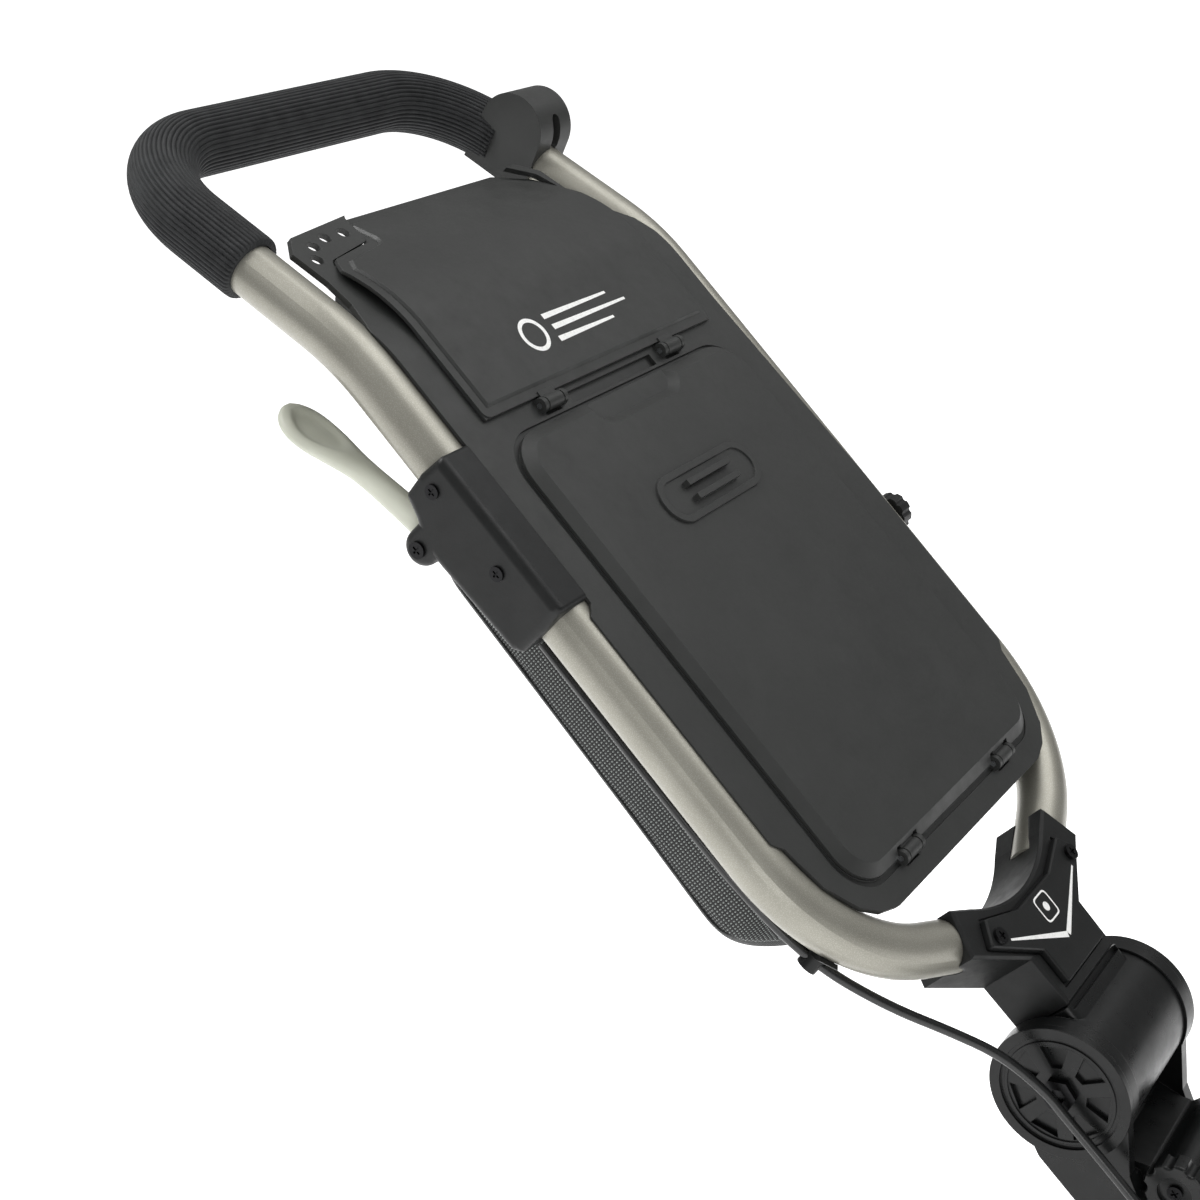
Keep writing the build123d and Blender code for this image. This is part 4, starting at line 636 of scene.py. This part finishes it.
def tape_along(name, places, width, thick, ups):
    """A folded tape that follows places, as a flat oval; ups gives its face direction."""
    turn = 2 * pi / TAPE_AROUND
    ring = [(width / 2 * cos(turn * k), thick / 2 * sin(turn * k)) for k in range(TAPE_AROUND)]
    points, weave = [], []
    run = 0.0
    for i, (place, up) in enumerate(zip(places, ups)):
        ahead = places[min(i + 1, len(places) - 1)]
        behind = places[max(i - 1, 0)]
        direction = (ahead - behind).normalized()
        across = direction.cross(up).normalized()
        over = across.cross(direction).normalized()
        run += (place - places[i - 1]).length / MM if i else 0.0
        points += [place + (across * a + over * b) * MM for a, b in ring]
        weave += [(k * TAPE_YARN, run) for k in range(TAPE_AROUND)]
    faces = capped(ring_faces(TAPE_AROUND, len(places)), TAPE_AROUND, len(places))
    return facing_out(make_piece(name, points, faces, TAPE, "handle", weave))


def rim_binding():
    """Tape folded over the wire rim."""
    top, foot = RIM_Q
    corners = [(-30, top), (-BASKET_X, top), (-BASKET_X, foot), (BASKET_X, foot), (BASKET_X, top), (-30, top)]
    route = rounded_route([console(x, q, RIM_N) for x, q in corners], 14 * MM, 5 * MM)
    places = [place for place, _ in route]
    made = tape_along("rim_binding", places, 5.4, 5.4, [console.above] * len(places))
    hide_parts("basket_rim")


def corner_binding(name, side, rows):
    """Tape sewn over one lower corner of the pouch, 0.4 mm outside the cloth."""
    places = []
    for q, floor_n in rows:
        reach = corner_radius(floor_n) * (1 - cos(pi / 4)) - 0.4
        places.append(console(side * (BASKET_X - reach), q, floor_n + reach))
    face = (Vector((side, 0, 0)) - console.above).normalized()
    tape_along(name, places, 8.0, 1.8, [face] * len(places))


def mouth_binding():
    """Tape round the pouch's open end, down one side, across under the mouth and up the other."""
    side = [(BASKET_X, RIM_N), (BASKET_X, -50.0), (BASKET_X - 0.5, -66.0), (BASKET_X - 5, -73.6),
            (BASKET_X - 12, -76.0)]
    sag = [(x, -76.3 - 1.2 * cos(x / 110 * pi / 2)) for x in range(96, -97, -12)]
    mouth = side + sag + [(-x, n) for x, n in reversed(side)]
    places = [console(x, RIM_Q[0] + 2.4, n) for x, n in mouth]
    tape_along("mouth_binding", places, 7.0, 1.8, [console.down] * len(places))


floor_rows = mesh_pouch()
rim_binding()
corner_binding("corner_binding_right", 1, floor_rows)
corner_binding("corner_binding_left", -1, floor_rows)
mouth_binding()

# ---------------------------------------------------------------- brake cable, one smooth run over the hub
CABLE_R = 2.7
CABLE_X = 141.4
CLEAR = 5.4               # the cable's first and last places at the hub, from the fold axis
LEG_R = 12.5
KNUCKLE_X = 236.0
LEG_TOP = spine(38, 120, -4)
REAR_AXLE = PIVOT["rear_wheel_right_spin"]
KNUCKLE = Vector((KNUCKLE_X * MM, REAR_AXLE.y, REAR_AXLE.z))
LEG_DOWN = (KNUCKLE - LEG_TOP).normalized()
LEG_OUT = (Vector((1, 0, 0)) - LEG_DOWN * LEG_DOWN.x).normalized()


def beside_leg(down_mm, bow_mm):
    """A place of the cable on the outer side of the right leg."""
    return LEG_TOP + LEG_DOWN * down_mm * MM + LEG_OUT * (LEG_R + CABLE_R + 1.2 + bow_mm) * MM


CABLE_ROUTE = [
    console(CABLE_X, 99.5, -33.0), console(CABLE_X + 0.8, 150, -32.2), console(CABLE_X + 0.6, 205, -32.0),
    console(CABLE_X - 1.4, 256, -32.6), console(130.5, 303, -33.0), console(109.0, 343, -31.0),
    console(84.0, 376, -28.6), console(66.0, 403, -26.8), console(58.2, 437 - CLEAR, -26.0),
    spine(57.5, CLEAR, 0), spine(57.0, 44, 7), spine(61.0, 92, 18),
    beside_leg(26, 9.0), beside_leg(75, 1.6), beside_leg(128, 0.0), beside_leg(196, 1.8),
    beside_leg(268, 2.0),
    beside_leg(326, 0.0), beside_leg(366, 0.6), Vector((0.246, REAR_AXLE.y + 0.014, REAR_AXLE.z + 0.047)),
]


def brake_cable():
    """Cable from the lever's housing, round the elbow, over the fold axis and down the right leg."""
    data = bpy.data.curves.new("brake_cable", "CURVE")
    data.dimensions = "3D"
    data.bevel_depth = CABLE_R * MM
    data.bevel_resolution = 5
    data.resolution_u = 10
    data.use_fill_caps = True
    data.materials.append(JACKET)
    spline = data.splines.new("NURBS")
    spline.points.add(len(CABLE_ROUTE) - 1)
    for point, place in zip(spline.points, CABLE_ROUTE):
        point.co = (*place, 1.0)
    spline.order_u = 3
    spline.use_endpoint_u = True
    made = as_plain_mesh(link(bpy.data.objects.new("brake_cable", data)))
    made.data.polygons.foreach_set("use_smooth", [True] * len(made.data.polygons))
    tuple(console(58.2, 437 - 24, -26.0))
    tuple(spine(57.5, 24, 0))
    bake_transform(made)
    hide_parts("brake_cable_handle", "brake_cable_frame")


brake_cable()


# ---------------------------------------------------------------- white marks printed on the lid and the yoke
INK_FILM = 0.07           # height of the ink over the surface, mm
LIFT_OFF = 60             # height the surface is looked for from, mm


def surface_under(node):
    """A function that drops a place in mm onto a node's outer face, seen square to the console."""
    tree = BVHTree.FromObject(frame["nodes"][node], bpy.context.evaluated_depsgraph_get())

    def drop(across, along):
        start = console(across, along, LIFT_OFF)
        hit, _, _, _ = tree.ray_cast(start, -console.above)
        return (hit or console(across, along, 0)) + console.above * INK_FILM * MM

    return drop


def printed(name, node, body, patches):
    """A thin film of ink; a patch gives places across and down for u and v from 0 to 1, and its cells."""
    drop = surface_under(node)
    points, faces = [], []
    for patch, cells_u, cells_v in patches:
        base = len(points)
        for i in range(cells_u + 1):
            points += [drop(*patch(i / cells_u, k / cells_v)) for k in range(cells_v + 1)]
        cells = ring_faces(cells_v + 1, cells_u + 1, closed=False)
        faces += [tuple(base + corner for corner in cell) for cell in cells]
    made = make_piece(name, points, faces, INK, body)
    for face in made.data.polygons:
        if face.normal.dot(console.above) < 0:
            face.flip()
    return made


def stroke(start, stop, width_start, width_stop):
    """A straight stroke between two places whose width changes along it."""
    run = Vector(stop) - Vector(start)
    side = Vector((-run.y, run.x)).normalized()

    def place(u, v):
        width = width_start + (width_stop - width_start) * u
        return Vector(start) + run * u + side * width * (v - 0.5)

    return place, 14, 2


def ring_mark(centre, half, stroke_mm, squareness):
    """A ring, from round at 1 to a rounded square at higher powers."""

    def place(u, v):
        angle = 2 * pi * u
        reach = (abs(cos(angle)) ** squareness + abs(sin(angle)) ** squareness) ** (-1 / squareness)
        radius = (half - stroke_mm * (1 - v)) * reach
        return Vector(centre) + Vector((cos(angle), sin(angle))) * radius

    return place, 64, 1


def lid_mark():
    """A plain ball and three speed bars on the upper lid."""
    patches = [ring_mark((38, -36), 10.5, 2.6, 2.0)]
    for row, (start, stop) in enumerate(((22, -40), (20, -52), (22, -32))):
        patches.append(stroke((start, -43.5 + 7.5 * row), (stop, -43.5 + 7.5 * row), 3.4, 1.6))
    printed("lid_mark", "upper_lid", "upper_lid", patches)


def yoke_mark():
    """Two tapered strokes that meet in a point, and a rounded square with a dot."""
    patches = [
        stroke((43.4, 359.6), (0.4, 380.7), 1.2, 3.4),
        stroke((-43.4, 359.6), (-0.4, 380.7), 1.2, 3.4),
        ring_mark((0, 362.7), 7.6, 1.0, 6.0),
        ring_mark((0, 362.7), 2.6, 2.6, 2.0),
    ]
    printed("yoke_mark", "yoke_cover", "handle", patches)


lid_mark()
yoke_mark()

# ---------------------------------------------------------------- tyres with moulded treads
WHEELS = (   # body, tyre node, joint
    ("rear_wheel_right", "rear_right_tyre", "rear_wheel_right_spin"),
    ("rear_wheel_left", "rear_left_tyre", "rear_wheel_left_spin"),
    ("front_wheel", "front_tyre", "front_wheel_spin"),
)
TREAD_DEPTH = 2.4
TREAD_INSET = 0.35        # the treads' tops stay this far inside the tyre's size, mm
BLOCKS = 34
TREAD_ROWS = (   # across, length round the wheel, width, drop towards the axle, slant, half-step round
    (6.2, 13.0, 9.4, 0.0, 0.5, 0.0),
    (-6.2, 13.0, 9.4, 0.0, -0.5, 0.5),
    (15.6, 11.0, 6.2, 2.6, 0.0, 0.5),
    (-15.6, 11.0, 6.2, 2.6, 0.0, 0.0),
)
TYRE_AROUND = 96
TYRE_WALL = 22.0          # from the tyre's outside down to the rim, mm


def tread_row(tree, given, row):
    """One row of blocks set round the wheel."""
    across, long, wide, drop, slant, shift = row
    index = add_node(tree, "GeometryNodeInputIndex").outputs["Index"]
    step = add_node(tree, "ShaderNodeMath", {"operation": "DIVIDE"}, i0=2 * pi, i1=given["Count"]).outputs[0]
    block = add_node(tree, "GeometryNodeMeshCube", None, Size=(wide * MM, long * MM, 2 * TREAD_DEPTH * MM))
    height = add_node(tree, "ShaderNodeMath", {"operation": "SUBTRACT"}, i0=given["Radius"],
                      i1=(TREAD_DEPTH + drop + TREAD_INSET) * MM).outputs[0]
    offset = add_node(tree, "ShaderNodeCombineXYZ", None, X=across * MM, Z=height)
    turned = add_node(tree, "GeometryNodeTransform", None, Geometry=block.outputs["Mesh"],
                      Translation=offset.outputs[0], Rotation=(0.0, 0.0, slant))
    spots = add_node(tree, "GeometryNodePoints", None, Count=given["Count"])
    phase = add_node(tree, "ShaderNodeMath", {"operation": "ADD"}, i0=index, i1=shift).outputs[0]
    angle = add_node(tree, "ShaderNodeMath", {"operation": "MULTIPLY"}, i0=phase, i1=step).outputs[0]
    turn = add_node(tree, "ShaderNodeCombineXYZ", None, X=angle)
    placed = add_node(tree, "GeometryNodeInstanceOnPoints", None, Points=spots.outputs[0],
                      Instance=turned.outputs[0], Rotation=turn.outputs[0])
    return placed.outputs[0]


def tread_tree():
    """Tread blocks round a wheel: two slanted rows on the crown and one upright row on each shoulder."""
    tree = bpy.data.node_groups.new("tread blocks", "GeometryNodeTree")
    sockets = (
        ("Radius", "NodeSocketFloat", 0.12),
        ("Count", "NodeSocketInt", BLOCKS),
        ("Depth", "NodeSocketFloat", TREAD_DEPTH * MM),
        ("Rubber", "NodeSocketMaterial", None),
    )
    for name, kind, value in sockets:
        socket = tree.interface.new_socket(name, in_out="INPUT", socket_type=kind)
        if value is not None:
            socket.default_value = value
    tree.interface.new_socket("Tread", in_out="OUTPUT", socket_type="NodeSocketGeometry")
    given = add_node(tree, "NodeGroupInput").outputs
    rows = add_node(tree, "GeometryNodeJoinGeometry")
    for row in TREAD_ROWS:
        tree.links.new(tread_row(tree, given, row), rows.inputs[0])
    real = add_node(tree, "GeometryNodeRealizeInstances", None, Geometry=rows.outputs[0])
    made = add_node(tree, "GeometryNodeSetMaterial", None, Geometry=real.outputs[0], Material=given["Rubber"])
    out = add_node(tree, "NodeGroupOutput")
    tree.links.new(made.outputs[0], out.inputs[0])
    return tree


def carcass(name, centre, radius, rim_radius, body):
    """Turned tyre body with rounded shoulders, a bead and a moulded line on each wall."""
    half = [(0, radius), (8, radius), (13.0, radius - 0.9), (16.8, radius - 3.2), (19.0, radius - 7.0),
            (20.2, radius - 11.0), (20.3, radius - 13.0), (19.6, radius - 13.8), (20.1, radius - 14.6),
            (19.2, rim_radius + 3.0), (17.4, rim_radius + 0.4), (12.0, rim_radius)]
    section = half + [(-x, r) for x, r in reversed(half[1:])]
    count = len(section)
    points, faces = [], []
    for i in range(TYRE_AROUND):
        angle = 2 * pi * i / TYRE_AROUND
        points += [centre + Vector((x, -r * sin(angle), r * cos(angle))) * MM for x, r in section]
        here, after = i * count, (i + 1) % TYRE_AROUND * count
        for k in range(count):
            beside = (k + 1) % count
            faces.append((here + k, here + beside, after + beside, after + k))
    return facing_out(make_piece(name, points, faces, TYRE, body))


def tyres():
    """A carcass and its tread blocks on each of the three wheels."""
    tree = tread_tree()
    ids = {item.name: item.identifier for item in tree.interface.items_tree if item.in_out == "INPUT"}
    for body, node, joint in WHEELS:
        low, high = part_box(node)
        centre = PIVOT[joint]
        radius = (high.z - low.z) / 2 / MM
        made = carcass(node + "_carcass", centre, radius - TREAD_DEPTH, radius - TYRE_WALL, body)
        blocks = link(bpy.data.objects.new(node + "_tread", bpy.data.meshes.new(node + "_tread")))
        nodes = blocks.modifiers.new("tread", "NODES")
        nodes.node_group = tree
        nodes[ids["Radius"]] = radius * MM
        nodes[ids["Count"]] = BLOCKS
        nodes[ids["Depth"]] = TREAD_DEPTH * MM
        nodes[ids["Rubber"]] = TYRE
        blocks = as_plain_mesh(blocks)
        blocks.data.transform(Matrix.Translation(centre))
        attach(blocks, body)
        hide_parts(node)


tyres()

# ---------------------------------------------------------------- light, floor and camera
SKY_LOW, SKY_HIGH = 0.16, 0.48            # brightness at the horizon and overhead
FLOOR_REACH = 14.0                        # half the floor's width, m
FLOOR_GLOW = 0.85
LAMPS = (   # name, place in m, size in m, watts
    ("key", (0.4, -1.9, 3.0), 1.6, 55.0),
    ("overhead", (-0.9, 0.5, 3.2), 2.2, 36.0),
    ("side", (2.8, 1.4, 1.2), 1.4, 18.0),
)
LAMPS_AIM = console(0, 120)


def studio():
    """Large soft lights and a pale sky over a white floor."""
    bpy.context.scene.view_settings.view_transform = "Standard"
    world = bpy.data.worlds.new("studio")
    bpy.context.scene.world = world
    world.use_nodes = True
    tree = world.node_tree
    place = add_node(tree, "ShaderNodeTexCoord").outputs["Generated"]
    height = add_node(tree, "ShaderNodeSeparateXYZ", None, Vector=place).outputs["Z"]
    bright = between(tree, height, 0.0, 0.9, SKY_LOW, SKY_HIGH)
    tree.links.new(bright, tree.nodes["Background"].inputs["Strength"])
    tree.nodes["Background"].inputs["Color"].default_value = (1, 1, 1, 1)

    material, tree, shader = new_finish("pale floor", Roughness=0.9)
    shader.inputs["Base Color"].default_value = (0.9, 0.9, 0.9, 1)
    shader.inputs["Emission Color"].default_value = (1, 1, 1, 1)
    shader.inputs["Emission Strength"].default_value = FLOOR_GLOW
    corners = [(x * FLOOR_REACH, y * FLOOR_REACH, 0) for x, y in ((-1, -1), (1, -1), (1, 1), (-1, 1))]
    mesh = bpy.data.meshes.new("floor")
    mesh.from_pydata(corners, [], [(0, 1, 2, 3)])
    mesh.materials.append(material)
    link(bpy.data.objects.new("floor", mesh))

    for name, place, size, power in LAMPS:
        light = bpy.data.lights.new(name, "AREA")
        light.shape = "SQUARE"
        light.size = size
        light.energy = power
        lamp = link(bpy.data.objects.new(name, light))
        lamp.location = place
        lamp.rotation_euler = (LAMPS_AIM - Vector(place)).to_track_quat("-Z", "Y").to_euler()


CAMERA_PLACE = (902.4, 193.3, 619.1)      # across, down the console, above it
CAMERA_LOOK = (-0.7784, -0.0925, -0.6209)
LENS_MM, SENSOR_MM = 61.5, 36.0


def camera():
    """A camera over the right shoulder of whoever pushes the trolley."""
    data = bpy.data.cameras.new("camera")
    data.sensor_width = SENSOR_MM
    data.lens = LENS_MM
    made = link(bpy.data.objects.new("camera", data))
    made.location = console(*CAMERA_PLACE)
    across, down, above = CAMERA_LOOK
    look = console.down * down + console.above * above + Vector((across, 0, 0))
    made.rotation_euler = look.to_track_quat("-Z", "Y").to_euler()
    bpy.context.scene.camera = made


studio()
camera()
